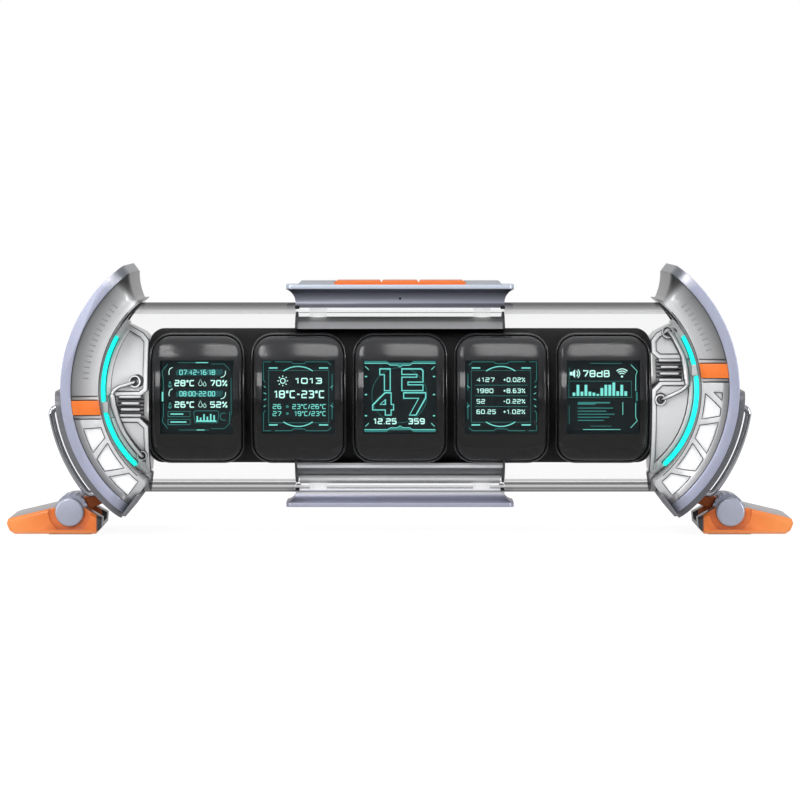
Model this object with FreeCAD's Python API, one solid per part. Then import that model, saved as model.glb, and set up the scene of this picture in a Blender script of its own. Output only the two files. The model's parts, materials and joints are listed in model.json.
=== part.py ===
import FreeCAD, Part
import math
import os

# A desk clock with five small square screens in a clear tube, held between two
# flared end caps on folding feet. Millimetres, +Z up, X along the tube, the
# screens face -Y. The origin is on the table, under the middle of the tube.

V = FreeCAD.Vector

# Tube
TUBE_R = 31.3
TUBE_WALL = 2.6
AXIS_HEIGHT = 44.3
BORE_R = TUBE_R - TUBE_WALL

# Fits and clearances
SEAT_GAP = 0.1
SLIDE_GAP = 0.2
RUNNING_GAP = 0.05

# End caps: curved plates round an upright arc seen from the front
CAP_ARC_X = 60.0
CAP_ARC_RISE = 3.7
CAP_PLATE_R = 49.9
CAP_PLATE_THICK = 3.3
CAP_SPAN_DEG = 53.8
CAP_HALF_DEPTH = 35.0
CAP_CORNER_R = 7.0
FLARE_INNER_R = 37.6
FLARE_NECK_DEPTH = 32.0
FLARE_LIP_DEPTH = 33.8
FLARE_BULGE_R = 42.6
FLARE_BULGE_DEPTH = 32.3
NECK_TOP_X = 85.6
NECK_HOLLOW = 0.5
NECK_RISE = 1.2
TUBE_FLOOR_X = 82.9
NECK_CORNER_R = 5.0
GASKET_THICK = 0.5
CAP_BORE_R = 29.4

# Cap details on the front of the flare
BAR_HEIGHT = 4.6
BAR_PROUD = 0.8
BAR_DEPTH = 2.4
SEAM_OFFSET = 3.6
SEAM_WIDTH = 0.45
SEAM_DEPTH = 0.6
WINDOW_INNER_RIM = 1.3
WINDOW_OUTER_RIM = 2.2
WINDOW_DEPTH = 1.2
PANE_THICK = 0.6

# Insert behind the tube wall
INSERT_R = 25.0
INSERT_FACE_X = 82.0
FRAME_HEIGHT = 1.2
FRAME_BORDER = 1.3
FRAME_RECESS = 0.7
FIN_POCKET_R = 22.0
FIN_COUNT = 6
FIN_THICK = 0.6
FIN_R = 25.6
LIGHT_WIDTH = 1.75
LIGHT_HEIGHT = 1.9
CONTACT_HALF = 1.7
CONTACT_LENGTH = 2.2

# Chrome pipes inside the tube
PIPE_R = 0.72
PIPE_SLEEVE_R = 1.15
PIPE_SLEEVE_LENGTH = 3.6
PIPE_LIFT = 1.3
FERRULE_R = 2.0
FERRULE_SEAT = 0.9
FERRULE_PROUD = 0.2

# Outer strap, guard wires and feet
STRAP_THICK = 2.3
STRAP_HALF_DEPTH = 29.0
STRAP_TOP_DEG = -1.0
STRAP_CORNER_R = 5.0
WIRE_R = 1.05
WIRE_STANDOFF = 2.5
WIRE_TOP_DEG = 7.0
WIRE_FOOT_GAP = 3.5
WIRE_BEND_R = 2.2
WIRE_HALF_SPACING = 16.0
HINGE_X = 108.0
HINGE_Z = 7.5
BARREL_R = 5.3
BARREL_HALF = 9.0
FLUTE_COUNT = 18
FLUTE_DEPTH = 0.45
PIN_R = 1.6
DISC_R = 4.7
DISC_THICK = 2.8
DISC_CHAMFER = 0.5
ARM_HALF_THICK = 2.2
ARM_HALF_DEPTH = 8.0
ARM_ANGLE_DEG = 44.0
FOOT_HALF_DEPTH = 20.0
FOOT_CLEAR = 0.3
FOOT_HEIGHT = 8.5
FOOT_CHAMFER = 0.9
FOOT_SCOOP_R = 6.9
FOOT_SCOOP_DEPTH = 1.3
FOOT_TIP_X = 128.6
FOOT_HEEL_X = 97.4
PAD_HALF_LENGTH = 7.0
PAD_HALF_DEPTH = 17.0
PAD_THICK = 0.8
FORK_GAP = 0.3

# Screens
SCREEN_COUNT = 5
SCREEN_PITCH = 33.06
BEZEL_WIDTH = 31.3
BEZEL_BOTTOM = -21.0
BEZEL_TOP = 21.6
BEZEL_CORNER = 7.0
BEZEL_R = 26.2
LENS_INSET = 0.9
LENS_R = 27.3
LENS_THICK = 2.0
HOUSING_R = 23.8
HOUSING_TOP = 22.8
HOUSING_BACK = 0.0
HOUSING_WALL = 2.0
HOUSING_FLOOR_Y = -16.0
DISPLAY_WIDTH = 25.6
DISPLAY_HEIGHT = 27.4
DISPLAY_THICK = 1.8
DISPLAY_FRONT_Y = -20.3
BOARD_LENGTH = 152.0
BOARD_HEIGHT = 33.0
BOARD_THICK = 1.6
BOARD_Y = -12.0
COVER_DEPTH = 9.0
COVER_EDGE_R = 3.0

# Middle: carrier inside the tube, ridges outside it
CORE_HALF = 34.4
CORE_R = 26.6
CORE_FRONT = 14.5
RIDGE_HALF = 34.6
RIDGE_FLANGE_HALF = 37.4
RIDGE_SEAT_DEPTH = 10.0
RIDGE_WAIST_DEPTH = 9.4
RIDGE_FLANGE_DEPTH = 12.5
RIDGE_TOP = 37.3
RIDGE_BOTTOM = -35.7
RIDGE_FLANGE_THICK = 1.45
RIDGE_CORNER_R = 2.4
TOP_CAP_THICK = 1.1
TOP_CAP_HALF = 33.6
TOP_CAP_DEPTH = 11.2
TOP_CAP_CHAMFER = 1.0
KEY_ROW_HALF = 21.0
KEY_GAP = 0.5
KEY_CENTRE_HALF = 5.9
KEY_PROUD = 0.25
KEY_STEM_HALF = 3.0
KEY_STEM_DEPTH = 3.2
KEY_STOP = 0.1
KEY_TRAVEL = 0.6
BOSS_R = 2.8
BOSS_X = 27.0
SCREW_R = 1.25
SCREW_HEAD_R = 2.4
SCREW_HEAD = 1.4
GROMMET_DROP = 2.7
GROMMET_HEIGHT = 1.8
MIC_HOLE_R = 0.4
MIC_R = 2.0

# Power socket
SOCKET_HALF_THICK = 1.7
SOCKET_HALF_WIDTH = 4.6
SOCKET_DEPTH = 7.1

CAP_Z = AXIS_HEIGHT + CAP_ARC_RISE
PLATE_INNER_R = CAP_PLATE_R - CAP_PLATE_THICK
STRAP_R = CAP_PLATE_R + STRAP_THICK
WIRE_ARC_R = STRAP_R + WIRE_STANDOFF
FRAME_R = INSERT_R + FRAME_HEIGHT
WINDOW_INNER_R = FLARE_INNER_R + WINDOW_INNER_RIM
WINDOW_OUTER_R = PLATE_INNER_R - WINDOW_OUTER_RIM
WIRE_LEG_DROP = CAP_Z - FOOT_CLEAR - FOOT_HEIGHT - WIRE_FOOT_GAP
WIRE_BOTTOM_DEG = math.degrees(math.asin(WIRE_LEG_DROP / WIRE_ARC_R))
FAR = 60.0
END_NEAR = 70.0
END_FAR = 120.0

# Where the two caps differ: the height of the orange bar above the tube's
# axis, the pipe's route as (x, height above the axis), and the windows below
# the bar as angles under the arc's middle: outer start, outer end, inner
# start, inner end.
CAPS = {
    "left": {
        "bar": -2.2,
        "pipe": [(85.4, 6.2), (90.8, 5.4), (93.8, 1.2), (91.8, -8.0), (88.9, -14.0), (84.6, -18.4)],
        "sleeve": 2,
        "windows": [(16.6, 27.4, 18.5, 23.8), (30.5, 36.5, 26.6, 40.8), (39.4, 50.6, 44.2, 50.2)],
    },
    "right": {
        "bar": 9.8,
        "pipe": [(88.6, 21.4), (91.6, 16.0), (93.6, 10.0), (93.4, 3.6), (84.8, 0.4)],
        "sleeve": 2,
        "windows": [
            (1.2, 4.6, 1.2, 1.4),
            (8.0, 11.1, 1.9, 14.2),
            (13.8, 27.8, 17.2, 23.8),
            (30.5, 36.5, 26.6, 40.8),
            (39.4, 50.6, 44.2, 50.2),
        ],
    },
}


def box(x0, x1, y0, y1, z0, z1):
    """A block between two corners."""
    return Part.makeBox(x1 - x0, y1 - y0, z1 - z0, V(x0, y0, z0))


def tube_cylinder(radius, x0, x1):
    """A cylinder about the clear tube's axis."""
    return Part.makeCylinder(radius, x1 - x0, V(x0, 0, AXIS_HEIGHT), V(1, 0, 0))


def cross_cylinder(radius, x, z, y0, y1):
    """A cylinder that lies front to back."""
    return Part.makeCylinder(radius, y1 - y0, V(x, y0, z), V(0, 1, 0))


def cap_cylinder(radius, half_depth=FAR):
    """A cylinder about the right cap's arc."""
    return cross_cylinder(radius, CAP_ARC_X, CAP_Z, -half_depth, half_depth)


def front_face(points):
    """A flat face from points (x, z)."""
    corners = [V(x, 0, z) for x, z in points]
    return Part.Face(Part.makePolygon(corners + corners[:1]))


def front_prism(points, y0, y1):
    """An outline seen from the front, drawn from y0 to y1."""
    face = front_face(points)
    face.translate(V(0, y0, 0))
    return face.extrude(V(0, y1 - y0, 0))


def arc(first, middle, last):
    """An arc edge through three points."""
    return Part.Arc(first, middle, last).toShape()


def line(first, last):
    """A straight edge."""
    return Part.LineSegment(first, last).toShape()


def polar(radius, degrees, y=0.0):
    """A point at an angle under the middle of the right cap's arc."""
    turn = math.radians(degrees)
    return V(CAP_ARC_X + radius * math.cos(turn), y, CAP_Z - radius * math.sin(turn))


def sector(r_in, r_out, low_deg, high_deg, half_depth):
    """A curved plate about the cap's arc, between two angles under its middle."""
    mid = (low_deg + high_deg) / 2
    edges = [
        arc(*(polar(r_in, a, -half_depth) for a in (low_deg, mid, high_deg))),
        line(polar(r_in, high_deg, -half_depth), polar(r_out, high_deg, -half_depth)),
        arc(*(polar(r_out, a, -half_depth) for a in (high_deg, mid, low_deg))),
        line(polar(r_out, low_deg, -half_depth), polar(r_in, low_deg, -half_depth)),
    ]
    return Part.Face(Part.Wire(edges)).extrude(V(0, 2 * half_depth, 0))


def round_plate_corners(plate, thickness, radius):
    """Rounds the four short edges at the corners of a curved plate."""
    corners = []
    for edge in plate.Edges:
        if edge.Curve.TypeId == "Part::GeomLine" and abs(edge.Length - thickness) < 1e-4:
            corners.append(edge)
    return plate.makeFillet(radius, corners)


def mirrored(shape):
    """The same piece at the other end of the clock."""
    return shape.mirror(V(0, 0, 0), V(1, 0, 0))


def on_side(shape, side):
    """The piece as built for the right, or its mirror image for the left."""
    return shape if side == "right" else mirrored(shape)


def skin(outline, r_in, r_out):
    """A front outline laid on the tube's curve, between two radii from its axis."""
    shell = tube_cylinder(r_out, END_NEAR, END_FAR).cut(tube_cylinder(r_in, END_NEAR, END_FAR))
    return outline.common(shell)


def clean(shape):
    """Merges faces that a cut left in pieces."""
    return shape.removeSplitter()


def cap_plate():
    """The curved outer plate, whose rim frames the cap."""
    plate = sector(PLATE_INNER_R, CAP_PLATE_R, -CAP_SPAN_DEG, CAP_SPAN_DEG, CAP_HALF_DEPTH)
    return round_plate_corners(plate, CAP_PLATE_THICK, CAP_CORNER_R)


def flare_region():
    """The flare seen from the front: a curved band that sweeps in to the tube at its top."""
    top = polar(PLATE_INNER_R, -CAP_SPAN_DEG)
    low = polar(PLATE_INNER_R, CAP_SPAN_DEG)
    neck_top = V(NECK_TOP_X, 0, AXIS_HEIGHT + TUBE_R + NECK_RISE)
    reach = (TUBE_FLOOR_X - CAP_ARC_X) / math.cos(math.radians(CAP_SPAN_DEG))
    neck_low = polar(reach, CAP_SPAN_DEG)
    bend_top = V((top.x + NECK_TOP_X) / 2 + NECK_HOLLOW, 0, (top.z + neck_top.z) / 2)
    edges = [
        arc(top, bend_top, neck_top),
        line(neck_top, V(neck_low.x, 0, neck_top.z)),
        line(V(neck_low.x, 0, neck_top.z), neck_low),
        line(neck_low, low),
        arc(low, polar(PLATE_INNER_R, 0), top),
    ]
    face = Part.Face(Part.Wire(edges))
    face.translate(V(0, -FAR, 0))
    return face.extrude(V(0, 2 * FAR, 0))


def flare_swing(proud=0.0):
    """The flare's concave front and back, turned about the cap's arc."""
    def at(radius, depth):
        return V(CAP_ARC_X + radius, depth + math.copysign(proud, depth), CAP_Z)

    edges = [
        line(at(FLARE_INNER_R, -FLARE_NECK_DEPTH), at(FLARE_INNER_R, FLARE_NECK_DEPTH)),
        arc(
            at(FLARE_INNER_R, FLARE_NECK_DEPTH),
            at(FLARE_BULGE_R, FLARE_BULGE_DEPTH),
            at(PLATE_INNER_R, FLARE_LIP_DEPTH),
        ),
        line(at(PLATE_INNER_R, FLARE_LIP_DEPTH), at(PLATE_INNER_R, -FLARE_LIP_DEPTH)),
        arc(
            at(PLATE_INNER_R, -FLARE_LIP_DEPTH),
            at(FLARE_BULGE_R, -FLARE_BULGE_DEPTH),
            at(FLARE_INNER_R, -FLARE_NECK_DEPTH),
        ),
    ]
    return Part.Face(Part.Wire(edges)).revolve(V(CAP_ARC_X, 0, CAP_Z), V(0, 1, 0), 360)


def bar_block(bar, grow=0.0):
    """The orange bar across the flare; grow widens it into its pocket."""
    z = AXIS_HEIGHT + bar
    half = BAR_HEIGHT / 2 + grow
    back = -FLARE_NECK_DEPTH + BAR_DEPTH
    block = box(CAP_ARC_X, END_FAR, -FAR, back + grow, z - half, z + half)
    ring = cap_cylinder(PLATE_INNER_R - SEAT_GAP + grow).cut(cap_cylinder(FLARE_INNER_R - grow))
    return block.common(ring).common(flare_swing(BAR_PROUD))


def window_outline(angles, shrink=0.0):
    """One truss window of the flare as a front outline; shrink insets its pane."""
    outer_start, outer_end, inner_start, inner_end = angles
    turn = math.degrees(shrink / WINDOW_INNER_R)
    points = [
        polar(WINDOW_INNER_R + shrink, inner_start + turn),
        polar(WINDOW_OUTER_R - shrink, outer_start + turn),
        polar(WINDOW_OUTER_R - shrink, outer_end - turn),
        polar(WINDOW_INNER_R + shrink, inner_end - turn),
    ]
    if inner_end - inner_start < 1:
        points[0] = polar((WINDOW_INNER_R + WINDOW_OUTER_R) / 2 + shrink, inner_start + turn)
        del points[3]
    return [(p.x, p.z) for p in points]


def flare_block():
    """The flare before its bore and openings, with rounded corners."""
    flare = flare_swing().common(flare_region())
    flare = flare.cut(cap_cylinder(FLARE_INNER_R))
    corners = []
    for edge in flare.Edges:
        ends = [v.Point for v in edge.Vertexes]
        if len(ends) != 2 or edge.Length > 16:
            continue
        deep = all(abs(p.y) > FLARE_NECK_DEPTH - 1 for p in ends)
        radii = [math.hypot(p.x - CAP_ARC_X, p.z - CAP_Z) for p in ends]
        if deep and abs(radii[0] - radii[1]) > 3:
            corners.append(edge)
    return flare.makeFillet(NECK_CORNER_R, corners)


def cap_flare(bar, windows):
    """The flared frame between the plate and the tube."""
    flare = flare_block()
    flare = flare.cut(tube_cylinder(CAP_BORE_R, END_NEAR, END_FAR))
    flare = flare.cut(bar_block(bar, SEAT_GAP))
    floor = -FLARE_NECK_DEPTH + WINDOW_DEPTH
    for angles in windows:
        flare = flare.cut(front_prism(window_outline(angles), -FAR, floor))
    for step in (-SEAM_OFFSET, SEAM_OFFSET):
        z = AXIS_HEIGHT + bar + step
        half = SEAM_WIDTH / 2
        floor_y = -FLARE_NECK_DEPTH + SEAM_DEPTH
        flare = flare.cut(box(END_NEAR, END_FAR, -FAR, floor_y, z - half, z + half))
    return clean(flare)


def window_panes(windows):
    """Milky panes that lie in the flare's windows."""
    floor = -FLARE_NECK_DEPTH + WINDOW_DEPTH
    panes = []
    for angles in windows:
        outline = window_outline(angles, SEAT_GAP)
        panes.append(front_prism(outline, floor - PANE_THICK, floor))
    return panes


def upper_outline(bar):
    """The upper frame of the insert, over the fins."""
    low = bar + SEAM_OFFSET
    right = INSERT_FACE_X + 0.2
    return [(97, 28.6), (84.0, 21.4), (right, 19.2), (right, low + 1.8), (84.4, low), (97, low)]


def lower_outline(bar):
    """The lower frame of the insert, under the fins."""
    high = bar - SEAM_OFFSET
    right = INSERT_FACE_X
    return [(97, high), (84.8, high), (right, high - 2.8), (right, -23.9), (84.8, -27), (97, -27)]


def insert_silhouette(bar):
    """The insert seen from the front: both frames and the fins' strip between them."""
    upper = upper_outline(bar)
    lower = lower_outline(bar)
    far = CAP_ARC_X + PLATE_INNER_R
    points = [(far, upper[0][1] + 6)] + upper[:5] + lower[1:] + [(far, lower[-1][1] - 6)]
    return [(x, AXIS_HEIGHT + z) for x, z in points]


def framed_tile(outline):
    """A raised border with a sunken field, both on the insert's curve."""
    points = [(x, AXIS_HEIGHT + z) for x, z in outline]
    face = front_face(points)
    field = face.makeOffset2D(-FRAME_BORDER)
    raised = face.copy()
    raised.translate(V(0, -FAR, 0))
    tile = skin(raised.extrude(V(0, FAR, 0)), INSERT_R - 0.5, FRAME_R)
    tile = tile.common(cap_cylinder(FLARE_INNER_R - GASKET_THICK))
    field.translate(V(0, -FAR, 0))
    sunk = field.extrude(V(0, FAR, 0)).common(cap_cylinder(light_inner_r() - FRAME_BORDER))
    sunk = skin(sunk, FRAME_R - FRAME_RECESS, FRAME_R + 1)
    return tile.cut(sunk)


def light_inner_r():
    """The inner radius of the light guides, which lie along the flare's inner edge."""
    return FLARE_INNER_R - GASKET_THICK - LIGHT_WIDTH


def light_spans(bar):
    """Height ranges of the upper and lower light guide."""
    return [(bar + 2.1, 19.8), (-21.0, bar - 2.2)]


def light_groove(bar, grow=0.0):
    """Both light guides as solids about the cap's arc."""
    ring = cap_cylinder(FLARE_INNER_R - GASKET_THICK + grow)
    ring = ring.cut(cap_cylinder(light_inner_r() - grow))
    guides = []
    for low, high in light_spans(bar):
        span = box(END_NEAR, END_FAR, -FAR, 0, AXIS_HEIGHT + low - grow, AXIS_HEIGHT + high + grow)
        r_in = INSERT_R - 0.6 - grow
        guides.append(skin(ring.common(span), r_in, INSERT_R - 0.6 + LIGHT_HEIGHT + 2 * grow))
    return guides


def fin_space(bar, grow=0.0):
    """The pocket between the two frames that holds the fins."""
    z = AXIS_HEIGHT + bar
    half = SEAM_OFFSET - 0.3 + grow
    return box(83.4 - grow, 91.8 + grow, -FAR, 0, z - half, z + half)


def contact_block(bar, grow=0.0):
    """The bright block between the orange bar and the pipe."""
    z = AXIS_HEIGHT + bar
    half = CONTACT_HALF + grow
    near = CAP_ARC_X + light_inner_r() + LIGHT_WIDTH - CONTACT_LENGTH
    block = box(near - grow, END_FAR, -FAR, 0, z - half, z + half)
    block = block.common(cap_cylinder(FLARE_INNER_R - GASKET_THICK - SEAT_GAP + grow))
    return skin(block, INSERT_R - 0.6 - grow, FRAME_R + 1.0 + grow)


def face_insert(bar, route):
    """The moulded insert that plugs the tube's end."""
    plug = tube_cylinder(INSERT_R, INSERT_FACE_X, END_FAR)
    collar = tube_cylinder(CAP_BORE_R - SEAT_GAP, END_NEAR, END_FAR).cut(tube_space(-SEAT_GAP))
    plug = plug.common(front_prism(insert_silhouette(bar), -FAR, FAR))
    insert = plug.fuse(collar)
    insert = insert.common(cap_cylinder(PLATE_INNER_R - SEAT_GAP))
    for outline in (upper_outline(bar), lower_outline(bar)):
        insert = insert.fuse(framed_tile(outline))
    for groove in light_groove(bar, SEAT_GAP):
        insert = insert.cut(groove)
    pocket = fin_space(bar, SEAT_GAP).cut(tube_cylinder(FIN_POCKET_R, END_NEAR, END_FAR))
    insert = insert.cut(pocket)
    insert = insert.cut(contact_block(bar, SEAT_GAP))
    insert = insert.cut(ferrule_seats(route))
    return clean(insert)


def fin_stack(bar):
    """A block of thin level fins in the insert's pocket."""
    space = fin_space(bar)
    base = skin(space, FIN_POCKET_R + SEAT_GAP, FIN_R - 1.6)
    low = AXIS_HEIGHT + bar - SEAM_OFFSET + 0.3
    pitch = (2 * SEAM_OFFSET - 0.6 - FIN_THICK) / (FIN_COUNT - 1)
    stack = base
    for i in range(FIN_COUNT):
        z = low + i * pitch
        fin = skin(box(83.4, 91.8, -FAR, 0, z, z + FIN_THICK), FIN_R - 2.0, FIN_R)
        stack = stack.fuse(fin)
    return clean(stack)


def on_tube(x, height, radius):
    """The point at this place seen from the front and this distance from the axis."""
    return V(x, -math.sqrt(radius * radius - height * height), AXIS_HEIGHT + height)


def rounded_path(points, share=0.45):
    """Straight runs joined by tangent arcs, each as large as its two runs allow."""
    edges = []
    start = points[0]
    for before, corner, after in zip(points, points[1:], points[2:]):
        back = before - corner
        ahead = after - corner
        reach = share * min(back.Length, ahead.Length)
        enter = corner + back.normalize() * reach
        leave = corner + ahead.normalize() * reach
        chord = (enter + leave) * 0.5
        half_turn = (math.pi - back.getAngle(ahead)) / 2
        radius = reach / math.tan(half_turn)
        apex = corner.sub(chord)
        rise = radius * (1 - math.cos(half_turn))
        middle = chord + apex.normalize() * rise
        edges.append(line(start, enter))
        edges.append(arc(enter, middle, leave))
        start = leave
    edges.append(line(start, points[-1]))
    return Part.Wire(edges)


def swept_rod(path, radius):
    """A round rod along a path of runs and arcs."""
    pieces = []
    for edge in path.Edges:
        start = edge.valueAt(edge.FirstParameter)
        heading = edge.tangentAt(edge.FirstParameter)
        disc = Part.Face(Part.Wire(Part.makeCircle(radius, start, heading)))
        if edge.Curve.TypeId == "Part::GeomLine":
            pieces.append(disc.extrude(heading * edge.Length))
        else:
            centre = edge.Curve.Center
            pivot = (start - centre).cross(heading)
            angle = math.degrees(edge.Length / edge.Curve.Radius)
            pieces.append(disc.revolve(centre, pivot, angle))
    return clean(pieces[0].fuse(pieces[1:]))


def pipe_points(route):
    """The pipe's points, just outside the insert, with its ends turned in."""
    (first, rise), (last, fall) = pipe_ends(route, FRAME_R - FERRULE_SEAT)
    reach = FERRULE_SEAT + PIPE_LIFT
    middle = [on_tube(x, z, FRAME_R + PIPE_LIFT) for x, z in route[1:-1]]
    return [first, first + rise * reach] + middle + [last + fall * reach, last]


def chrome_pipe(route, sleeve_run):
    """The bright pipe with its sleeve."""
    points = pipe_points(route)
    pipe = swept_rod(rounded_path(points), PIPE_R)
    first = points[sleeve_run]
    second = points[sleeve_run + 1]
    heading = (second - first).normalize()
    middle = (first + second) * 0.5
    sleeve = Part.makeCylinder(
        PIPE_SLEEVE_R, PIPE_SLEEVE_LENGTH, middle - heading * (PIPE_SLEEVE_LENGTH / 2), heading
    )
    return pipe.fuse(sleeve)


def pipe_ends(route, radius):
    """Both places where the pipe enters the insert, and the outward directions there."""
    places = []
    for x, height in (route[0], route[-1]):
        foot = on_tube(x, height, radius)
        places.append((foot, (foot - V(x, 0, AXIS_HEIGHT)).normalize()))
    return places


def ferrules(route):
    """The rings where the pipe enters the insert."""
    rings = []
    for foot, outward in pipe_ends(route, FRAME_R - FERRULE_SEAT):
        ring = Part.makeCylinder(FERRULE_R, FERRULE_SEAT + FERRULE_PROUD, foot, outward)
        rings.append(ring.cut(Part.makeCylinder(PIPE_R + SEAT_GAP, 3, foot, outward)))
    return rings


def ferrule_seats(route):
    """The shallow holes in the insert for the rings."""
    radius = FERRULE_R + SEAT_GAP
    places = pipe_ends(route, FRAME_R - FERRULE_SEAT)
    return [Part.makeCylinder(radius, 3, foot, outward) for foot, outward in places]


def outer_strap():
    """The dark strap outside the plate's lower half, which carries the foot."""
    strap = sector(CAP_PLATE_R, STRAP_R, -STRAP_TOP_DEG, CAP_SPAN_DEG, STRAP_HALF_DEPTH)
    strap = round_plate_corners(strap, STRAP_THICK, STRAP_CORNER_R)
    for degrees in (WIRE_TOP_DEG, WIRE_BOTTOM_DEG):
        for y in (-WIRE_HALF_SPACING, WIRE_HALF_SPACING):
            start = polar(CAP_PLATE_R + 0.5, degrees, y)
            outward = polar(1, degrees) - polar(0, degrees)
            strap = strap.cut(Part.makeCylinder(WIRE_R + RUNNING_GAP, 5, start, outward))
    for start, outward in screw_places():
        strap = strap.cut(Part.makeCylinder(SCREW_HEAD_R + SEAT_GAP, 5, start, outward))
    return strap


def screw_places():
    """Where the strap is screwed to the plate: start point and outward direction."""
    places = []
    for degrees in (STRAP_TOP_DEG + 7, CAP_SPAN_DEG - 6):
        for y in (-WIRE_HALF_SPACING - 7, WIRE_HALF_SPACING + 7):
            outward = polar(1, degrees) - polar(0, degrees)
            places.append((polar(STRAP_R - SCREW_HEAD, degrees, y), outward))
    return places


def strap_screws():
    """Socket screws through the strap."""
    screws = []
    for start, outward in screw_places():
        head = Part.makeCylinder(SCREW_HEAD_R, SCREW_HEAD - 0.2, start, outward)
        head = head.cut(Part.makeCylinder(SCREW_R, 1, start + outward * 0.6, outward))
        screws.append(head)
    return screws


def wire_path(y):
    """The guard wire: out of the strap, along the arc and back in."""
    def bend(degrees, sign):
        inner = WIRE_ARC_R - WIRE_BEND_R
        offset = math.degrees(math.asin(WIRE_BEND_R / inner))
        centre = polar(inner, degrees + sign * offset, y)
        on_leg = polar(math.sqrt(inner ** 2 - WIRE_BEND_R ** 2), degrees, y)
        on_arc = polar(WIRE_ARC_R, degrees + sign * offset, y)
        middle = ((on_leg + on_arc) * 0.5 - centre).normalize() * WIRE_BEND_R + centre
        return on_leg, middle, on_arc

    top = bend(WIRE_TOP_DEG, 1)
    low = bend(WIRE_BOTTOM_DEG, -1)
    centre_deg = (WIRE_TOP_DEG + WIRE_BOTTOM_DEG) / 2
    root = CAP_PLATE_R + 0.6
    edges = [
        line(polar(root, WIRE_TOP_DEG, y), top[0]),
        arc(*top),
        arc(top[2], polar(WIRE_ARC_R, centre_deg, y), low[2]),
        arc(low[2], low[1], low[0]),
        line(low[0], polar(root, WIRE_BOTTOM_DEG, y)),
    ]
    return Part.Wire(edges)


def guard_wires():
    """Two bright wires that stand off the strap, front and back."""
    return [swept_rod(wire_path(y), WIRE_R) for y in (-WIRE_HALF_SPACING, WIRE_HALF_SPACING)]


def hinge_arm():
    """The short arm from the strap to the hinge barrel."""
    root = polar(STRAP_R - 1, ARM_ANGLE_DEG)
    hinge = V(HINGE_X, 0, HINGE_Z)
    along = (root - hinge).normalize()
    across = V(-along.z, 0, along.x) * ARM_HALF_THICK
    corners = [hinge + across, root + across, root - across, hinge - across]
    arm = front_prism([(p.x, p.z) for p in corners], -ARM_HALF_DEPTH, ARM_HALF_DEPTH)
    arm = arm.cut(cap_cylinder(STRAP_R))
    return arm.cut(cross_cylinder(BARREL_R, HINGE_X, HINGE_Z, -FAR, FAR))


def hinge_barrel():
    """The fluted barrel that the pin turns in."""
    outline = []
    for i in range(FLUTE_COUNT):
        for share, radius in ((-0.3, BARREL_R), (0.3, BARREL_R), (0.5, BARREL_R - FLUTE_DEPTH)):
            turn = 2 * math.pi * (i + share) / FLUTE_COUNT
            outline.append((HINGE_X + radius * math.cos(turn), HINGE_Z + radius * math.sin(turn)))
    barrel = front_prism(outline, -BARREL_HALF, BARREL_HALF)
    return barrel.cut(cross_cylinder(PIN_R + RUNNING_GAP, HINGE_X, HINGE_Z, -FAR, FAR))


def hinge_pin():
    """The steel pin, fixed in the foot."""
    half = FOOT_HALF_DEPTH - FOOT_SCOOP_DEPTH - 0.6
    return cross_cylinder(PIN_R, HINGE_X, HINGE_Z, -half, half)


def hinge_discs():
    """Bright discs that cap the pin at the front and the back."""
    discs = []
    for side in (-1, 1):
        near = side * (FOOT_HALF_DEPTH + 0.9 - DISC_THICK)
        disc = Part.makeCylinder(DISC_R, DISC_THICK, V(HINGE_X, near, HINGE_Z), V(0, side, 0))
        rim = max(disc.Edges, key=lambda e: side * e.BoundBox.Center.y)
        discs.append(disc.makeChamfer(DISC_CHAMFER, [rim]))
    return discs


def foot():
    """The folding foot: a long toe, a short heel and a fork round the barrel."""
    low = FOOT_CLEAR
    top = low + FOOT_HEIGHT
    outline = [
        (FOOT_TIP_X - 2.6, low),
        (FOOT_HEEL_X + 2.0, low),
        (FOOT_HEEL_X + 0.3, low + 1.8),
        (FOOT_HEEL_X, low + 5.1),
        (FOOT_HEEL_X + 1.4, low + 5.9),
        (HINGE_X - 4.8, top),
        (HINGE_X + 5.6, top),
        (FOOT_TIP_X - 2.2, low + 5.5),
        (FOOT_TIP_X - 0.5, low + 4.9),
        (FOOT_TIP_X, low + 3.4),
        (FOOT_TIP_X - 0.9, low + 1.1),
    ]
    block = front_prism(outline, -FOOT_HALF_DEPTH, FOOT_HALF_DEPTH)
    rims = [e for e in block.Edges if abs(e.BoundBox.YLength) < 1e-6]
    block = block.makeChamfer(FOOT_CHAMFER, rims)
    gap = BARREL_HALF + FORK_GAP
    throat = cross_cylinder(BARREL_R + FORK_GAP, HINGE_X, HINGE_Z, -gap, gap)
    notch = box(FOOT_HEEL_X - 1, HINGE_X, -gap, gap, HINGE_Z - ARM_HALF_THICK - 1.8, 30)
    block = block.cut(throat).cut(notch)
    for side in (-1, 1):
        face = side * FOOT_HALF_DEPTH
        inner = face - side * FOOT_SCOOP_DEPTH
        y0, y1 = sorted((inner, face + side))
        scoop = cross_cylinder(FOOT_SCOOP_R, HINGE_X, HINGE_Z, y0, y1)
        block = block.cut(scoop.common(box(90, 130, -FAR, FAR, low + 1.5, 30)))
        seat = side * (FOOT_HALF_DEPTH + 0.9 - DISC_THICK)
        y0, y1 = sorted((seat, face + side))
        block = block.cut(cross_cylinder(DISC_R + SEAT_GAP, HINGE_X, HINGE_Z, y0, y1))
    block = block.cut(cross_cylinder(PIN_R, HINGE_X, HINGE_Z, -FAR, FAR))
    block = block.cut(pad_block(SEAT_GAP))
    return clean(block)


def pad_block(grow=0.0):
    """The rubber pad under the foot, centred under the hinge."""
    half = PAD_HALF_LENGTH + grow
    deep = PAD_HALF_DEPTH + grow
    return box(HINGE_X - half, HINGE_X + half, -deep, deep, 0, PAD_THICK)


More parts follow.
